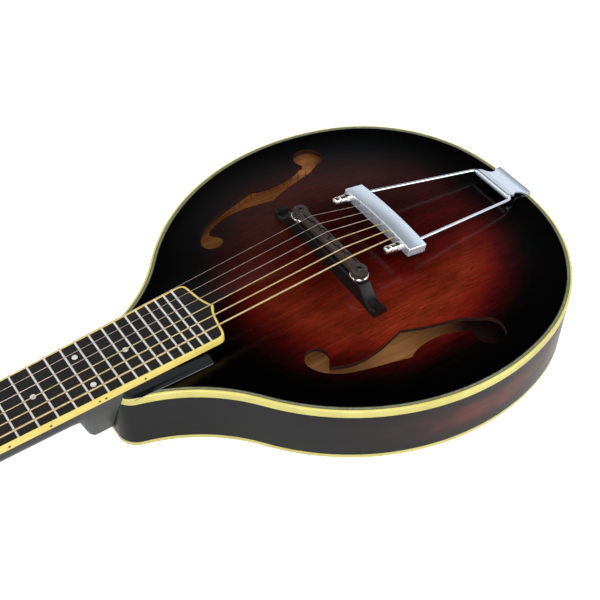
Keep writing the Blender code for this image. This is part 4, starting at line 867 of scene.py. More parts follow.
def makeFretboard():
    thick = board["thick"]
    bm = bmesh.new()
    slab(bm, boardLoop(board["binding"] + 0.03 * mm), -thick, 0)
    addPiece("fretboardWood", bm, "ebony", "fretboard", place=neckPlace)

    bm = bmesh.new()
    profile = ((0, -thick), (0, -0.5 * mm), (0.12 * mm, -0.18 * mm), (0.45 * mm, -0.02 * mm),
               (board["binding"], 0), (board["binding"], -thick), (0, -thick))
    loft(bm, [[(x, y, z) for x, y in boardLoop(inset)] for inset, z in profile], False)
    bmesh.ops.remove_doubles(bm, verts=bm.verts, dist=weld)
    bmesh.ops.holes_fill(bm, edges=bm.edges, sides=0)
    for number in range(1, board["frets"] + 1):
        x = fretX(number)
        for side in (-1, 1):
            nib = bmesh.new()
            block(nib, (x - 0.95 * mm, -0.75 * mm, -0.6 * mm), (x + 0.95 * mm, 0.75 * mm, 0.72 * mm))
            bmesh.ops.translate(nib, verts=nib.verts, vec=(0, side * (boardHalf(x) - 0.85 * mm), 0))
            soften(nib, 0.45 * mm, 2, 60, above(0))
            mesh = bpy.data.meshes.new("nib")
            nib.to_mesh(mesh)
            nib.free()
            bm.from_mesh(mesh)
            bpy.data.meshes.remove(mesh)
    addPiece("fretboardBinding", bm, "boardBinding", "fretboard_binding", place=neckPlace, sharp=40)

    bm = bmesh.new()
    for number in range(1, board["frets"] + 1):
        x = fretX(number)
        reach = boardHalf(x) - board["binding"] - 0.1 * mm
        before = set(bm.verts)
        rod(bm, 1.1 * mm, 2 * reach, spun("X"))
        made = [vert for vert in bm.verts if vert not in before]
        bmesh.ops.scale(bm, vec=(0.66, 1, 0.92), verts=made)
        bmesh.ops.translate(bm, vec=(x, 0, -0.03 * mm), verts=made)
    cutAway(bm, (0, 0, -0.2 * mm), (0, 0, 1))
    bmesh.ops.holes_fill(bm, edges=bm.edges, sides=0)
    addPiece("frets", bm, "fretWire", "fretboard", place=neckPlace, sharp=50)

    bm = bmesh.new()
    small = bmesh.new()
    for number in (3, 5, 7, 9, 12, 15):
        x = (fretX(number) + fretX(number - 1)) / 2
        for y in ((-13.3 * mm, 13.3 * mm) if number == 12 else (0,)):
            lathe(bm, [(0, 0.05 * mm), (1.85 * mm, 0.05 * mm), (2 * mm, 0), (2 * mm, -0.4 * mm), (0, -0.4 * mm)],
                  24, at(x, y, 0))
        for shift in ((-2.2 * mm, 2.2 * mm) if number == 12 else (0,)):
            lathe(small, [(0, 0.05 * mm), (0.85 * mm, 0.05 * mm), (0.9 * mm, -0.3 * mm), (0, -0.3 * mm)], 16,
                  at(x + shift, -boardHalf(x + shift), -2.4 * mm) @ spun("X"))
    addPiece("boardDots", bm, "pearl", "fretboard", place=neckPlace)
    addPiece("sideDots", small, "blackLine", "fretboard_binding", place=neckPlace)


def makeNut():
    left = -board["scale"] - board["nut"]
    half = board["nutWidth"] / 2
    bm = bmesh.new()
    block(bm, (left + 0.05 * mm, -half, -board["thick"]), (left + board["nut"] - 0.05 * mm, half, 2.4 * mm))
    soften(bm, 0.7 * mm, 3, 60, above(0))
    nut = addPiece("nut", bm, "bone", "nut", place=neckPlace)
    bm = bmesh.new()
    for number in range(1, 7):
        slot = at(left + board["nut"] / 2, strings["nutSpread"] * stringShare(number), 2.5 * mm)
        rod(bm, stringRadius(number) + 0.2 * mm, 12 * mm, neckPlace @ slot @ spun("Y"), 14)
    carve(nut, bm, sharp=40)


riser = dict(fromFront=4 * mm, shortOfBoard=9.5 * mm, inset=1 * mm, tip=3 * mm, footOut=3.5 * mm, spread=0.06,
             cove=((0.96, 0.07), (0.55, 0.22), (0.25, 0.45), (0.08, 0.72), (0, 1)))      # share out and share up


def riserFoot(x):
    wide = board["endWidth"] / 2
    return (wide + riser["footOut"]) * ((boardHalf(x) - riser["inset"]) / wide + riser["spread"])


def makeRiser():
    # the gloss block under the board's end, coved on both sides
    start, end = frontX + riser["fromFront"], sideX - riser["shortOfBoard"]
    sections = []
    for i in range(10):
        x = start + (end - start) * i / 9
        tip = x + (riser["tip"] if i == 9 else 0)
        half, foot = boardHalf(x) - riser["inset"], riserFoot(x)
        top = board["height"] + x * math.tan(board["tilt"]) - (board["thick"] + 0.05 * mm) / math.cos(board["tilt"])
        section = [(tip, foot * s / 5, archHeight(x, foot * s / 5) + 0.1 * mm) for s in range(-5, 6)]
        low = section[-1][2]
        cove = [(tip + (x - tip) * up, half + (foot - half) * out, low + (top - low) * up)
                for out, up in riser["cove"]]
        sections.append(section + cove + [(a, -b, c) for a, b, c in reversed(cove)])
    bm = bmesh.new()
    loft(bm, sections)
    piece = addPiece("extensionRiser", bm, "blackLacquer", "extension_riser", sharp=40)
    bm = bmesh.new()
    for ring in ringStack(bm, ((gap, 40 * mm), (gap, 80 * mm)), False):
        bmesh.ops.contextual_create(bm, geom=ring)
    carve(piece, bm, "INTERSECT", 40)
    # a light grey wire along each side of the riser's foot: a painted highlight of its gloss edge on the top
    for word, side in (("bass", -1), ("treble", 1)):
        sheenLine = []
        for i in range(13):
            x = start + 5 * mm + (end + 2 * mm - start - 5 * mm) * i / 12
            y = side * (riserFoot(x) + 0.1 * mm)
            sheenLine.append((x, y, archHeight(x, y) + 0.35 * mm))
        addPiece(f"{word}RiserSheen", wire(sheenLine, 0.22 * mm, 2), "edgeSheen", "extension_riser")


# Strings: the CAD's own route, from the winding on the post to the tailpiece

strings = dict(
    diameters=(0.28, 0.36, 0.50, 0.71, 0.97, 1.24), nutSpread=36 * mm, saddleSpread=48.7 * mm, tailSpread=40 * mm,
    turns=2, postX=(-36, -74, -112), postY=22 * mm,
)


def stringRadius(number):
    return strings["diameters"][number - 1] / 2 * mm


def stringShare(number):
    # across the set, from the treble side's 0.5 to the bass side's -0.5
    return 0.5 - (number - 1) / 5


def stringRoute(number):
    radius = stringRadius(number)
    side = 1 if number <= 3 else -1
    post = Vector((strings["postX"][number - 1 if number <= 3 else 6 - number] * mm, side * strings["postY"], 0))
    climb = 2 * radius + 0.5 * mm
    reach = 2.6 * mm + gap + radius + 0.05 * mm
    low = 2.5 * mm + gap + radius
    spread = stringShare(number)
    nut = neckPlace @ Vector((-board["scale"] - board["nut"] / 2, strings["nutSpread"] * spread, 2.4 * mm))
    leave = headPlace.inverted() @ nut
    away = Vector((leave.x - post.x, leave.y - post.y))
    contact = math.atan2(away.y, away.x) - side * math.acos(reach / away.length)
    route = []
    for i in range(strings["turns"] * 24, -1, -1):
        angle = contact - side * 2 * math.pi * i / 24
        route.append(headPlace @ Vector((post.x + reach * math.cos(angle), post.y + reach * math.sin(angle),
                                         low + climb * i / 24)))
    saddle = Vector((bridge["x"] + 1.5 * mm, strings["saddleSpread"] * spread,
                     bridge["saddleTop"] + 0.2 * mm + radius))
    ends = [trapezePlace @ Vector((x * mm, strings["tailSpread"] * spread, -0.6 * mm)) for x in (-114, -110.4)]
    return route + [nut, saddle, *ends]


def makeStrings():
    for number in range(1, 7):
        look, slot = ("plain", "plain_string") if number <= 3 else ("wound", "wound_string")
        addPiece(f"string{number}", wire(stringRoute(number), stringRadius(number)), look,
                 f"string_{number}", sharp=70)


# Bridge

bridge = dict(
    x=2.9 * mm, length=121.6 * mm, width=11 * mm, top=69.3 * mm, block=84 * mm, endHeight=3.9 * mm,
    endBlock=3.9 * mm, endRise=1.9 * mm, endRun=0.35 * mm,
    stations=(0, 0.1, 0.2, 0.3, 0.4, 0.5, 0.6, 0.68, 0.7, 0.715, 0.73, 0.75, 0.775, 0.8, 0.825, 0.85, 0.8666,
              0.88, 0.9, 0.92, 0.9355, 0.937, 0.9395, 0.942, 0.97, 1.0),
    postY=35.3 * mm, postRadius=2 * mm, postTop=78.6 * mm, postLow=64.3 * mm, threads=22,
    wheelLow=71 * mm, wheelRadius=6.6 * mm, wheelThick=2.2 * mm,
    saddleLow=73.5 * mm, saddleTop=79.1 * mm, saddleWidth=8 * mm, bossRadius=5.5 * mm,
    peaks=(1.7, -0.2, -1.7, 1.6, 0.0, -1.8),      # in mm, where each string leaves the saddle's middle line
)


def baseTop(y):
    reach, middle, end = abs(y), bridge["block"] / 2, bridge["length"] / 2
    low = archHeight(bridge["x"], end) + bridge["endHeight"]
    share = clamp((reach - middle) / (end - bridge["endBlock"] - middle))
    step = bridge["endRise"] * clamp((reach - end + bridge["endBlock"]) / bridge["endRun"])
    return low + step + (bridge["top"] - low) * (1 - share) ** 2


def makeBase():
    half = bridge["width"] / 2
    sections = []
    for y in sorted({side * share * bridge["length"] / 2 for side in (-1, 1) for share in bridge["stations"]}):
        low, top = archHeight(bridge["x"], y) + 0.08 * mm, baseTop(y)
        outline = ((-half, low), (half, low), (half - 0.3 * mm, low + 0.5 * (top - low)),
                   (half - 0.8 * mm, top - 0.7 * mm), (half - 1.3 * mm, top - 0.1 * mm), (half - 1.9 * mm, top))
        sections.append([(bridge["x"] + x, y, z) for x, z in outline] +
                        [(bridge["x"] - x, y, z) for x, z in reversed(outline[2:])])
    bm = bmesh.new()
    loft(bm, sections)
    addPiece("bridgeBase", bm, "bridgeWood", "bridge_base", sharp=28)


def makePosts():
    radius, low, top = bridge["postRadius"], bridge["postLow"], bridge["postTop"]
    thread = []
    for i in range(bridge["threads"]):
        z = top - 1.2 * mm - (top - low - 2 * mm) * i / bridge["threads"]
        thread += [(radius, z), (radius - 0.25 * mm, z - 0.3 * mm)]
    for word, side in (("bass", -1), ("treble", 1)):
        spot = at(bridge["x"], side * bridge["postY"], 0)
        bm = bmesh.new()
        lathe(bm, [(0, top), (radius - 0.35 * mm, top), (radius, top - 0.35 * mm), *thread, (radius, low), (0, low)],
              28, spot)
        post = addPiece(f"{word}Post", bm, "darkSteel", f"{word}_bridge_post")
        bm = bmesh.new()      # the screwdriver slot
        block(bm, (-3 * mm, -0.45 * mm, top - 1.1 * mm), (3 * mm, 0.45 * mm, top + 1 * mm))
        bmesh.ops.transform(bm, matrix=spot @ spun("Z", 0.6 * side), verts=bm.verts)
        carve(post, bm)


def makeWheels():
    radius, low, high = bridge["wheelRadius"], bridge["wheelLow"], bridge["wheelLow"] + bridge["wheelThick"]
    bore = bridge["postRadius"] + 0.15 * mm
    for word, side in (("bass", -1), ("treble", 1)):
        bm = bmesh.new()
        lathe(bm, [(bore, low), (radius - 0.6 * mm, low), (radius, low + 0.4 * mm), (radius, high - 0.4 * mm),
                   (radius - 0.6 * mm, high), (bore, high), (bore, low)], 72)
        for vert in bm.verts:      # the knurled rim
            step = round(math.degrees(math.atan2(vert.co.y, vert.co.x)) / 5)
            if math.hypot(vert.co.x, vert.co.y) > radius - 0.1 * mm and step % 2:
                vert.co.xy *= 0.955
        addPiece(f"{word}Wheel", bm, "nickel", f"{word}_thumbwheel", f"{word}_wheel",
                 at(bridge["x"], side * bridge["postY"], 0))


def makeSaddle():
    half, boss = bridge["saddleWidth"] / 2, bridge["bossRadius"]
    low, high = bridge["saddleLow"], bridge["saddleTop"]
    start = math.asin(half / boss)
    sweep = [start + (2 * math.pi - 2 * start) * i / 28 for i in range(29)]
    bass = [(bridge["x"] - boss * math.sin(a), -bridge["postY"] + boss * math.cos(a)) for a in sweep]
    treble = [(bridge["x"] + boss * math.sin(a), bridge["postY"] - boss * math.cos(a)) for a in sweep]
    bm = bmesh.new()
    slab(bm, bass + treble, low, high - 1.3 * mm)
    soften(bm, 0.5 * mm, 2, 60, above(low + 1 * mm))
    saddle = addPiece("bridgeSaddle", bm, "saddleWood", "bridge_saddle", "saddle", sharp=28)
    bm = bmesh.new()
    pitch = strings["saddleSpread"] / 5
    crest = []
    for i, peak in enumerate(bridge["peaks"]):
        middle = strings["saddleSpread"] * (i / 5 - 0.5)
        ridge = ((-half + 0.4 * mm, high - 1.5 * mm), (half - 0.4 * mm, high - 1.5 * mm),
                 (half - 0.5 * mm, high - 1.1 * mm), (peak * mm + 0.5 * mm, high), (peak * mm - 0.5 * mm, high),
                 (-half + 0.5 * mm, high - 1.1 * mm))
        loft(bm, [[(bridge["x"] + x, middle + side * (pitch / 2 - 0.05 * mm), z) for x, z in ridge]
                  for side in (-1, 1)])
        crest += [(bridge["x"] + peak * mm, middle + side * (pitch / 2 - 0.5 * mm), high + 0.02 * mm)
                  for side in (-1, 1)]
    carve(saddle, bm, "UNION", 28)
    bm = bmesh.new()
    for side in (-1, 1):
        rod(bm, bridge["postRadius"] + 0.2 * mm, 20 * mm, at(bridge["x"], side * bridge["postY"], high), 28)
    carve(saddle, bm, sharp=28)
    # a black wire along the zigzag where the strings cross the saddle: painted shade of the steps between the string
    # seats
    addPiece("saddleShadeWire", wire(crest, 0.42 * mm, 2), "saddleShade", "bridge_saddle", "saddle")


# Tailpiece: bracket, rods, string bar and nuts

tail = dict(
    front=-113 * mm, rodRadius=1.25 * mm, rodY=30 * mm, tubeRadius=2.4 * mm, tubeLength=35 * mm,
    barDepth=15.5 * mm, barLength=76 * mm, barTop=4 * mm, crown=2 * mm, wall=1.4 * mm, skirt=8.2 * mm,
    stringDrop=0.6 * mm, notchRadius=7.5 * mm, notchOut=4.12 * mm, bracketThick=1.2 * mm, bracketFoot=12 * mm,
    # halves of the rod's bend, of the cap nut and of the end pin, in mm
    bend=((-9, 21.0), (-5, 20.5), (-2.6, 20.1), (-0.9, 19.2), (-0.1, 17.6), (0, 15.5), (0, 11.5)),
    dome=((3.2, 0), (3.2, 2), (3.15, 3.5), (2.9, 4.1), (2.35, 4.75), (2.9, 5.3), (3.05, 5.9), (3.0, 7.1),
          (2.5, 8.4), (1.5, 9.2), (0, 9.5)),
    pin=((5.1, 0), (4.4, 1.4), (3.7, 3.6), (3.6, 6.2), (4.6, 8.2), (5.8, 9.6), (6, 11), (5.6, 12.6), (4.2, 13.6),
         (0, 14)),
)


def latheSmooth(bm, profile, steps, place):
    lathe(bm, [(max(0, r) * mm, z * mm) for r, z in smoothPath(profile, 3)] + [(0, 0)], steps, place)


def barShell(half, low, inset=0.0):
    # the bar's outer shell, or with an inset its hollow
    sections = []
    for i in range(-20, 21):
        y = half * i / 20
        top = tail["barTop"] - tail["crown"] * (y / (tail["barLength"] / 2)) ** 2 - inset
        front, back = tail["front"] + inset, tail["front"] + tail["barDepth"] - inset
        sections.append([(front, y, low), (back, y, low), (back, y, top), (front, y, top)])
    bm = bmesh.new()
    loft(bm, sections)
    return bm


def makeTailpiece():
    front = tail["front"]
    for word, side in (("bass", -1), ("treble", 1)):
        points = [(front - 11 * mm, tail["rodY"]), (front + 14 * mm, tail["rodY"]),
                  (front + 16 * mm, tail["rodY"] - 0.1 * mm)]
        points += [(x * mm, y * mm) for x, y in smoothPath(tail["bend"], 5)]
        bm = wire([(x, side * y, 0) for x, y in points], tail["rodRadius"], 5)
        addPiece(f"{word}Rod", bm, "chrome", f"{word}_tailpiece_rod", "trapeze", trapezePlace, sharp=60)

    foot, half = tail["barTop"] - tail["skirt"], tail["barLength"] / 2
    bm = barShell(half, foot)
    soften(bm, 0.8 * mm, 3, 50, lambda edge: any(v.co.z > foot + 1 * mm for v in edge.verts))
    bar = addPiece("tailpieceBar", bm, "satinChrome", "tailpiece_bar", "trapeze", trapezePlace, sharp=40)
    bm = barShell(half - tail["wall"], foot - 1 * mm, tail["wall"])
    bmesh.ops.transform(bm, matrix=trapezePlace, verts=bm.verts)
    carve(bar, bm, sharp=40)
    bm = bmesh.new()
    for number in range(1, 7):
        hole = at(front, strings["tailSpread"] * stringShare(number), -tail["stringDrop"])
        rod(bm, stringRadius(number) + 0.6 * mm, 5 * mm, trapezePlace @ hole @ spun("Y"))
    carve(bar, bm, sharp=40)

    for word, side in (("bass", -1), ("treble", 1)):
        spot = trapezePlace @ at(front - 0.1 * mm, side * tail["rodY"], 0) @ spun("Y", -math.pi / 2)
        bm = bmesh.new()
        rod(bm, 3.2 / math.cos(math.pi / 6) * mm, 6 * mm, at(0, 0, 3.1 * mm), 6)
        soften(bm, 0.45 * mm)
        addPiece(f"{word}HexNut", bm, "nickel", f"{word}_hex_nut", "trapeze", spot)
        bm = bmesh.new()
        latheSmooth(bm, tail["dome"], 32, at(0, 0, 6.3 * mm))
        addPiece(f"{word}CapNut", bm, "nickel", f"{word}_cap_nut", "trapeze", spot, sharp=50)


def makeBracket():
    thick, foot, rim, face = tail["bracketThick"], tail["bracketFoot"], body["rim"] + gap, body["tailX"] + gap
    x, z, radius = hinge["x"], hinge["z"], tail["tubeRadius"]
    ring = [math.radians(62 + 290 * i / 30) for i in range(31)]
    roll = [(x + radius * math.cos(a), z + radius * math.sin(a)) for a in ring]
    under = [(x + 6 * mm, z - 2 * mm), (face - 4.3 * mm, rim), (face, rim), (face, foot)]
    over = [(face + thick, foot), (face + thick, rim - gap), (face + 1.0 * mm, rim + 0.7 * mm),
            (face + 0.3 * mm, rim + thick), (face - 4.3 * mm, rim + thick), (x + 6 * mm, z - 2 * mm + thick)]
    bm = bmesh.new()
    slab(bm, roll + under + over, -tail["tubeLength"] / 2, tail["tubeLength"] / 2)
    bracket = addPiece("tailpieceBracket", bm, "satinChrome", "tailpiece_bracket", place=spun("X"),
                       sharp=25)
    notchX = (x + radius + body["tailX"]) / 2 - 0.5 * mm
    bm = bmesh.new()
    for side in (-1, 1):
        rod(bm, tail["notchRadius"], 24 * mm, at(notchX, side * (tail["tubeLength"] / 2 + tail["notchOut"]), 58 * mm),
            40)
    rod(bm, tail["rodRadius"] + 0.15 * mm, 50 * mm, at(x, 0, z) @ spun("X"), 24)
    carve(bracket, bm, sharp=25)

    face += thick + 0.1 * mm
    for word, y in (("bass", -10 * mm), ("treble", 10 * mm)):
        bm = bmesh.new()
        screwHead(bm, at(face, y, 37 * mm) @ spun("Y"), 3.2 * mm)
        addPiece(f"{word}BracketScrew", bm, "nickel", f"{word}_bracket_screw")
    bm = bmesh.new()
    latheSmooth(bm, tail["pin"], 36, at(face, 0, 24 * mm) @ spun("Y"))
    addPiece("endPin", bm, "blackLacquer", "end_pin", sharp=50)


makeNeck()
makeHeadstockTrim()
makeFretboard()
makeNut()
makeRiser()
print("neck and fretboard made")
makeStrings()
makeBase()
makePosts()
makeWheels()
makeSaddle()
makeTailpiece()
makeBracket()
print("bridge, strings and tailpiece made")


# Tuners, in the headstock's frame

tuner = dict(
    gearTop=-18.1 * mm, gearThick=2 * mm, gearRoot=4.5 * mm, gearCrest=5.95 * mm, teeth=14, holeUp=6.4 * mm,
    # radius and height in mm
    post=((0, 11.5), (2.2, 11.5), (2.62, 11.35), (2.9, 11.0), (2.95, 10.3), (2.72, 9.9), (2.6, 9.2), (2.6, 3.2),
          (2.72, 2.5), (2.95, 2.1), (2.95, -18.2), (0, -18.2)),
    shaft=((0, 24), (1.5, 24), (1.5, 20.9), (2.1, 20.2), (2.0, 19.0), (1.15, 18.6), (1.15, -7.1), (0.9, -7.4),
           (0, -7.4)),
    bushing=((3.25, 0.05), (3.25, 1.2), (3.5, 1.5), (4.6, 1.2), (5.0, 0.5), (5.0, 0.05), (3.25, 0.05)),
    wormOffset=7.55 * mm, wormCore=1.3 * mm, wormCrest=2.68 * mm, wormHalf=2.9 * mm, wormEnd=5.1 * mm,
    pitch=2.4235 * mm, buttonWide=15 * mm, buttonLong=14 * mm, buttonThick=6.4 * mm, buttonOut=28 * mm,
    plateHalf=7.75 * mm, plateTop=-14.6 * mm, plateLow=-15.8 * mm, plateEnd=12,
    earY=5.8 * mm, earRadius=2.6 * mm, earHeight=-19.3 * mm, earThick=1.4 * mm, wormHeight=-19.1 * mm,
)


def upright(edge):
    return abs(edge.verts[0].co.z - edge.verts[1].co.z) > 1e-6


def gearWheel(bm):
    root, crest = tuner["gearRoot"], tuner["gearCrest"]
    flank = ((root, 0.33), (root + 0.25 * mm, 0.26), (crest - 0.3 * mm, 0.15), (crest, 0.1))
    tooth = [(radius, -share) for radius, share in flank] + list(reversed(flank))
    loop = []
    for number in range(tuner["teeth"]):
        for radius, share in tooth:
            angle = (number + share) * 2 * math.pi / tuner["teeth"]
            loop.append((radius * math.cos(angle), radius * math.sin(angle)))
    slab(bm, loop, tuner["gearTop"] - tuner["gearThick"], tuner["gearTop"])
    soften(bm, 0.15 * mm, 2, 60, lambda edge: not upright(edge))


def wormAndShaft(bm):
    # about +Y, the worm's thread swept as a ring whose radius follows the pitch
    rings = []
    for i in range(-36, 37):
        y = tuner["wormEnd"] * i / 36
        fade = clamp((tuner["wormHalf"] - abs(y)) / (0.5 * mm) + 0.5)
        ring = []
        for k in range(28):
            angle = 2 * math.pi * k / 28
            phase = (angle - 2 * math.pi * y / tuner["pitch"] - math.pi / 2) / (2 * math.pi)
            tooth = clamp((0.5 - abs(phase - round(phase)) * 2) / 0.28)
            radius = tuner["wormCore"] + (tuner["wormCrest"] - tuner["wormCore"]) * fade * tooth
            ring.append((radius * math.sin(angle), y, radius * math.cos(angle)))
        rings.append(ring)
    loft(bm, rings)
    lathe(bm, [(r * mm, z * mm) for r, z in tuner["shaft"]], 24, spun("X", -math.pi / 2))


def buttonShape(bm):
    bmesh.ops.create_uvsphere(bm, u_segments=28, v_segments=18, radius=0.5)
    for vert in bm.verts:      # an oval with flat cheeks, narrower where it meets the shaft
        x, y, z = vert.co
        vert.co = (x * tuner["buttonWide"] * (0.8 + 0.2 * min(1, 1.6 * (y + 0.5))),
                   tuner["buttonOut"] + y * tuner["buttonLong"],
                   math.copysign(min(0.5, abs(z) * 1.5), z) * tuner["buttonThick"])
    bmesh.ops.remove_doubles(bm, verts=bm.verts, dist=weld)


def makeTuners():
    middle = tuner["gearTop"] - tuner["gearThick"] / 2
    bushings = bmesh.new()
    for i, x in enumerate(strings["postX"]):
        for number, side in ((1 + i, 1), (6 - i, -1)):
            flat = at(x * mm, side * strings["postY"], 0)
            spot = headPlace @ flat
            post, key = f"tuner_post_{number}", f"tuner_key_{number}"
            bm = bmesh.new()
            lathe(bm, [(r * mm, z * mm) for r, z in tuner["post"]])
            piece = addPiece(f"tunerPost{number}", bm, "nickel", post, post, spot)
            bm = bmesh.new()
            gearWheel(bm)
            bmesh.ops.transform(bm, matrix=spot, verts=bm.verts)
            carve(piece, bm, "UNION")
            away = spot.inverted() @ stringRoute(number)[strings["turns"] * 24 + 1]
            bm = bmesh.new()
            rod(bm, 0.8 * mm, 9 * mm,
                spot @ at(0, 0, tuner["holeUp"]) @ spun("Z", math.atan2(away.y, away.x)) @ spun("Y"))
            carve(piece, bm)
            bm = bmesh.new()
            screwHead(bm, spot @ at(0, 0, -20.4 * mm) @ spun("X", math.pi), 2 * mm)
            addPiece(f"gearScrew{number}", bm, "nickel", post, post)
            across = spot @ at(tuner["wormOffset"], 0, middle) @ spun("X", 0 if side > 0 else math.pi)
            bm = bmesh.new()
            wormAndShaft(bm)
            addPiece(f"tunerKey{number}", bm, "nickel", key, key, across, 50)
            bm = bmesh.new()
            buttonShape(bm)
            addPiece(f"tunerButton{number}", bm, "bone", key, key, across, 50)
            lathe(bushings, [(r * mm, z * mm) for r, z in tuner["bushing"]], 32, flat)
    addPiece("tunerBushings", bushings, "nickel", "headstock_veneer", place=headPlace)


def makeTunerPlate(word, side):
    posts, offset = strings["postX"], tuner["wormOffset"]
    y, low, high = side * strings["postY"], tuner["plateLow"], tuner["plateTop"]
    left, right = (posts[-1] - tuner["plateEnd"]) * mm, (posts[0] + tuner["plateEnd"]) * mm + offset
    bm = bmesh.new()
    block(bm, (left, y - tuner["plateHalf"], low), (right, y + tuner["plateHalf"], high))
    soften(bm, 2.5 * mm, 4, 60, upright)
    soften(bm, 0.25 * mm, 2, 60, below(low + 1e-6))
    plate = addPiece(f"{word}TunerPlate", bm, "nickel", f"{word}_tuner_plate", place=headPlace)
    ears = bmesh.new()      # two to each worm, its shaft runs in them
    radius, half = tuner["earRadius"], tuner["earThick"] / 2
    for x in posts:
        middle = x * mm + offset
        arc = [(middle + radius * math.cos(a), tuner["earHeight"] - radius * math.sin(a))
               for a in (math.pi * k / 12 for k in range(13))]
        loop = [(middle + radius, low + 0.4 * mm), *arc, (middle - radius, low + 0.4 * mm)]
        for shift in (-tuner["earY"], tuner["earY"]):
            before = set(ears.verts)
            slab(ears, loop, -half, half)
            bmesh.ops.transform(ears, matrix=headPlace @ at(0, y + shift, 0) @ spun("X"),
                                verts=[vert for vert in ears.verts if vert not in before])
    carve(plate, ears, "UNION")
    bores = bmesh.new()
    for x in posts:
        rod(bores, 1.45 * mm, 18 * mm, headPlace @ at(x * mm + offset, y, tuner["wormHeight"]) @ spun("X"), 24)
        rod(bores, 3.25 * mm, 4 * mm, headPlace @ at(x * mm, y, low), 24)
    carve(plate, bores)
    screws = bmesh.new()
    for x in (*[post + 17 for post in posts], posts[-1] - 9):
        screwHead(screws, at(x * mm, y, low - 0.1 * mm) @ spun("X", math.pi), 2.2 * mm)
    addPiece(f"{word}PlateScrews", screws, "nickel", f"{word}_tuner_plate", place=headPlace)


lining = dict(fromFront=40.8 * mm, stop=155.9 * mm, outer=2.8 * mm, inner=7.8 * mm, deep=9 * mm, web=1.5 * mm,
              sawWidth=0.9 * mm, sawTurn=0.045)


def makeLinings():
    # strips sawn into blocks, seen through the f-holes
    start, stop, outer, inner = frontX + lining["fromFront"], lining["stop"], lining["outer"], lining["inner"]
    for row in ("top", "back"):
        low = topSizes["underside"] - gap - lining["deep"] if row == "top" else body["backThick"] + gap
        high = low + lining["deep"]
        cut = (low - 1 * mm, high - lining["web"]) if row == "top" else (low + lining["web"], high + 1 * mm)
        for word, side in (("treble", 1), ("bass", -1)):
            bm = bmesh.new()
            ringStack(bm, ((outer, low), (outer, high), (inner, high), (inner, low)), half=True)
            bmesh.ops.remove_doubles(bm, verts=bm.verts, dist=weld)
            for point, way in (((start, 0, 0), (1, 0, 0)), ((stop, 0, 0), (-1, 0, 0)), ((0, 1 * mm, 0), (0, 1, 0))):
                cutAway(bm, point, way)
            bmesh.ops.holes_fill(bm, edges=bm.edges, sides=0)
            if side < 0:
                bmesh.ops.scale(bm, vec=(1, -1, 1), verts=bm.verts)
            strip = addPiece(f"{word}{row.capitalize()}Lining", bm, "bare", f"{word}_{row}_lining")
            spots = [vert.co for vert in strip.data.vertices
                     if abs(vert.co.z - low) < 1e-6 and start < vert.co.x < stop]
            turns = {round(math.atan2(spot.y, spot.x - body["archX"]) / lining["sawTurn"]) for spot in spots}
            saws = bmesh.new()
            for turn in sorted(turns):
                before = set(saws.verts)
                block(saws, (0.05, -lining["sawWidth"] / 2, cut[0]), (0.25, lining["sawWidth"] / 2, cut[1]))
                bmesh.ops.transform(saws, matrix=at(body["archX"], 0, 0) @ spun("Z", turn * lining["sawTurn"]),
                                    verts=[vert for vert in saws.verts if vert not in before])
            carve(strip, saws)


makeTuners()
makeTunerPlate("bass", -1)
makeTunerPlate("treble", 1)
makeLinings()
print("tuners and linings made")


# Floor, light and camera

stage = dict(
    floor=(205, 205, 205), seenGlow=0.8, mirroredGlow=0.12, worldTurn=-58, cameraStrength=2.0,
    # the wall of light, by the sine of its height: highest on the treble side and beyond the tail
    trebleSide=((0.0, (0.88, 0.93, 1.0)), (0.42, (0.6, 0.62, 0.65)), (0.58, (0.32, 0.32, 0.33)), (0.7, (0.015,) * 3),
                (1.0, (0.015,) * 3)),
    between=((0.0, (0.88, 0.93, 1.0)), (0.4, (0.7, 0.75, 0.82)), (0.46, (0.5, 0.54, 0.6)), (0.51, (0.06,) * 3),
             (0.56, (0.015,) * 3), (1.0, (0.015,) * 3)),
    beyondTail=((0.0, (0.88, 0.93, 1.0)), (0.5, (0.8, 0.85, 0.93)), (0.6, (0.66, 0.7, 0.78)), (0.66, (0.015,) * 3),
                (1.0, (0.015,) * 3)),
    # place, width and power of each square lamp
    lamps=dict(keyLight=((-0.5, -0.85, 1.25), 0.7, 17), neckLight=((-0.9, 0.5, 1.5), 0.9, 8),
               tailLight=((1.1, -1.1, 0.8), 0.8, 7)),
)


def makeFloor():
    bm = bmesh.new()
    bmesh.ops.create_grid(bm, x_segments=1, y_segments=1, size=40, matrix=at(0, 0, cadBox[0][2] - 0.2 * mm))
    floor = meshObject("floor", bm)
    look, tree, shader = newLook("paleFloor", Base_Color=paint(*stage["floor"]), Roughness=0.9,
                                 Specular_IOR_Level=0.1, Emission_Color=(1, 1, 1, 1))
    path = node(tree, "ShaderNodeLightPath").outputs
    mirrored = maths(tree, "MULTIPLY", path["Is Glossy Ray"], stage["mirroredGlow"])
    seen = maths(tree, "MAXIMUM", path["Is Camera Ray"], path["Is Transmission Ray"])
    seen = maths(tree, "MULTIPLY", seen, stage["seenGlow"])
    tree.links.new(maths(tree, "ADD", seen, mirrored), shader.inputs["Emission Strength"])
    floor.data.materials.append(look)


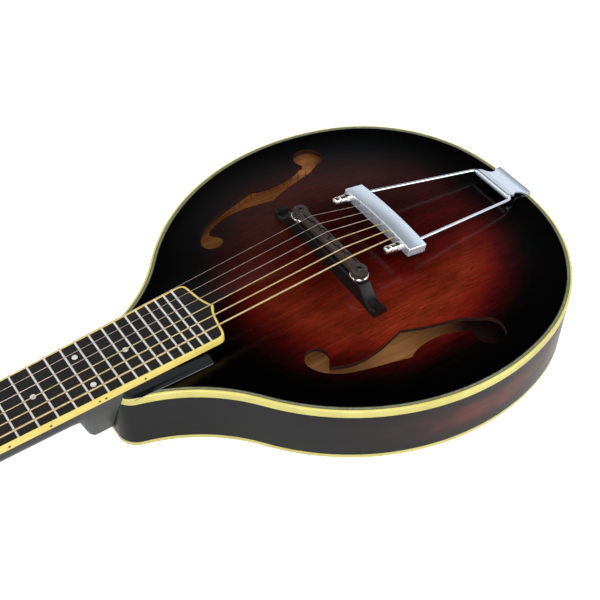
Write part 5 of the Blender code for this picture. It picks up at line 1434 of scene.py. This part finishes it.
def makeWorld():
    world = bpy.data.worlds.new("studio")
    world.use_nodes = True
    scene.world = world
    tree = world.node_tree
    back = tree.nodes["Background"]
    way = node(tree, "ShaderNodeTexCoord").outputs["Generated"]
    turned = node(tree, "ShaderNodeVectorRotate", {"Vector": way, "Axis": (0, 0, 1),
                                                   "Angle": math.radians(stage["worldTurn"])},
                  rotation_type="AXIS_ANGLE").outputs[0]
    parts = node(tree, "ShaderNodeSeparateXYZ", {0: turned}).outputs
    left, middle, right = (ramp(tree, parts[2], [(height, (*colour, 1)) for height, colour in stage[zone]])
                           for zone in ("trebleSide", "between", "beyondTail"))
    colour = blend(tree, ease(tree, parts[1], -0.02, 0.16), middle, left)
    colour = blend(tree, ease(tree, parts[1], -0.30, -0.40), colour, right)
    tree.links.new(colour, back.inputs["Color"])
    seen = node(tree, "ShaderNodeLightPath").outputs["Is Camera Ray"]
    strength = node(tree, "ShaderNodeMapRange", {0: seen, 3: 1.0, 4: stage["cameraStrength"]}).outputs[0]
    tree.links.new(strength, back.inputs["Strength"])


def makeLamps():
    for name, (spot, size, power) in stage["lamps"].items():
        data = bpy.data.lights.new(name, "AREA")
        data.shape, data.size, data.energy = "SQUARE", size, power
        lamp = bpy.data.objects.new(name, data)
        lamp.location = spot
        lamp.rotation_mode = "QUATERNION"
        lamp.rotation_quaternion = (Vector((0, 0, 0.05)) - Vector(spot)).to_track_quat("-Z", "Y")
        scene.collection.objects.link(lamp)


view = dict(
    # fitted to the frets, the outline and the strings
    lens=65.70, sensor=36, place=(-0.3232, -0.4418, 0.5920), right=(0.83034, -0.55719, 0.00895),
    up=(0.39823, 0.60455, 0.68988), back=(-0.38980, -0.56927, 0.72387),
)


def makeCamera():
    data = bpy.data.cameras.new("camera")
    data.lens, data.sensor_width, data.clip_start, data.clip_end = view["lens"], view["sensor"], 0.01, 100
    camera = bpy.data.objects.new("camera", data)
    turn = Matrix((view["right"], view["up"], view["back"])).transposed()
    camera.matrix_world = at(*view["place"]) @ turn.to_4x4()
    scene.collection.objects.link(camera)
    scene.camera = camera


makeFloor()
makeWorld()
makeLamps()
makeCamera()
scene.view_settings.view_transform = "Standard"

# the looks of the CAD nodes that stay, by their material slots
looksForNodes = dict(
    stained_top="top", stained_side="side", bare_wood="bare", cream="cream", purfling="purfling",
    black_lacquer="blackLacquer", ebony="ebony", rosewood="saddleWood", pearl="pearl", bone="bone", nickel="nickel",
    chrome="chrome", steel="steel", plain_string="plain", wound_string="wound",
)
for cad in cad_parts.values():
    for holder in cad.material_slots:
        holder.material = looks[looksForNodes[holder.material.name.split(".")[0]]]
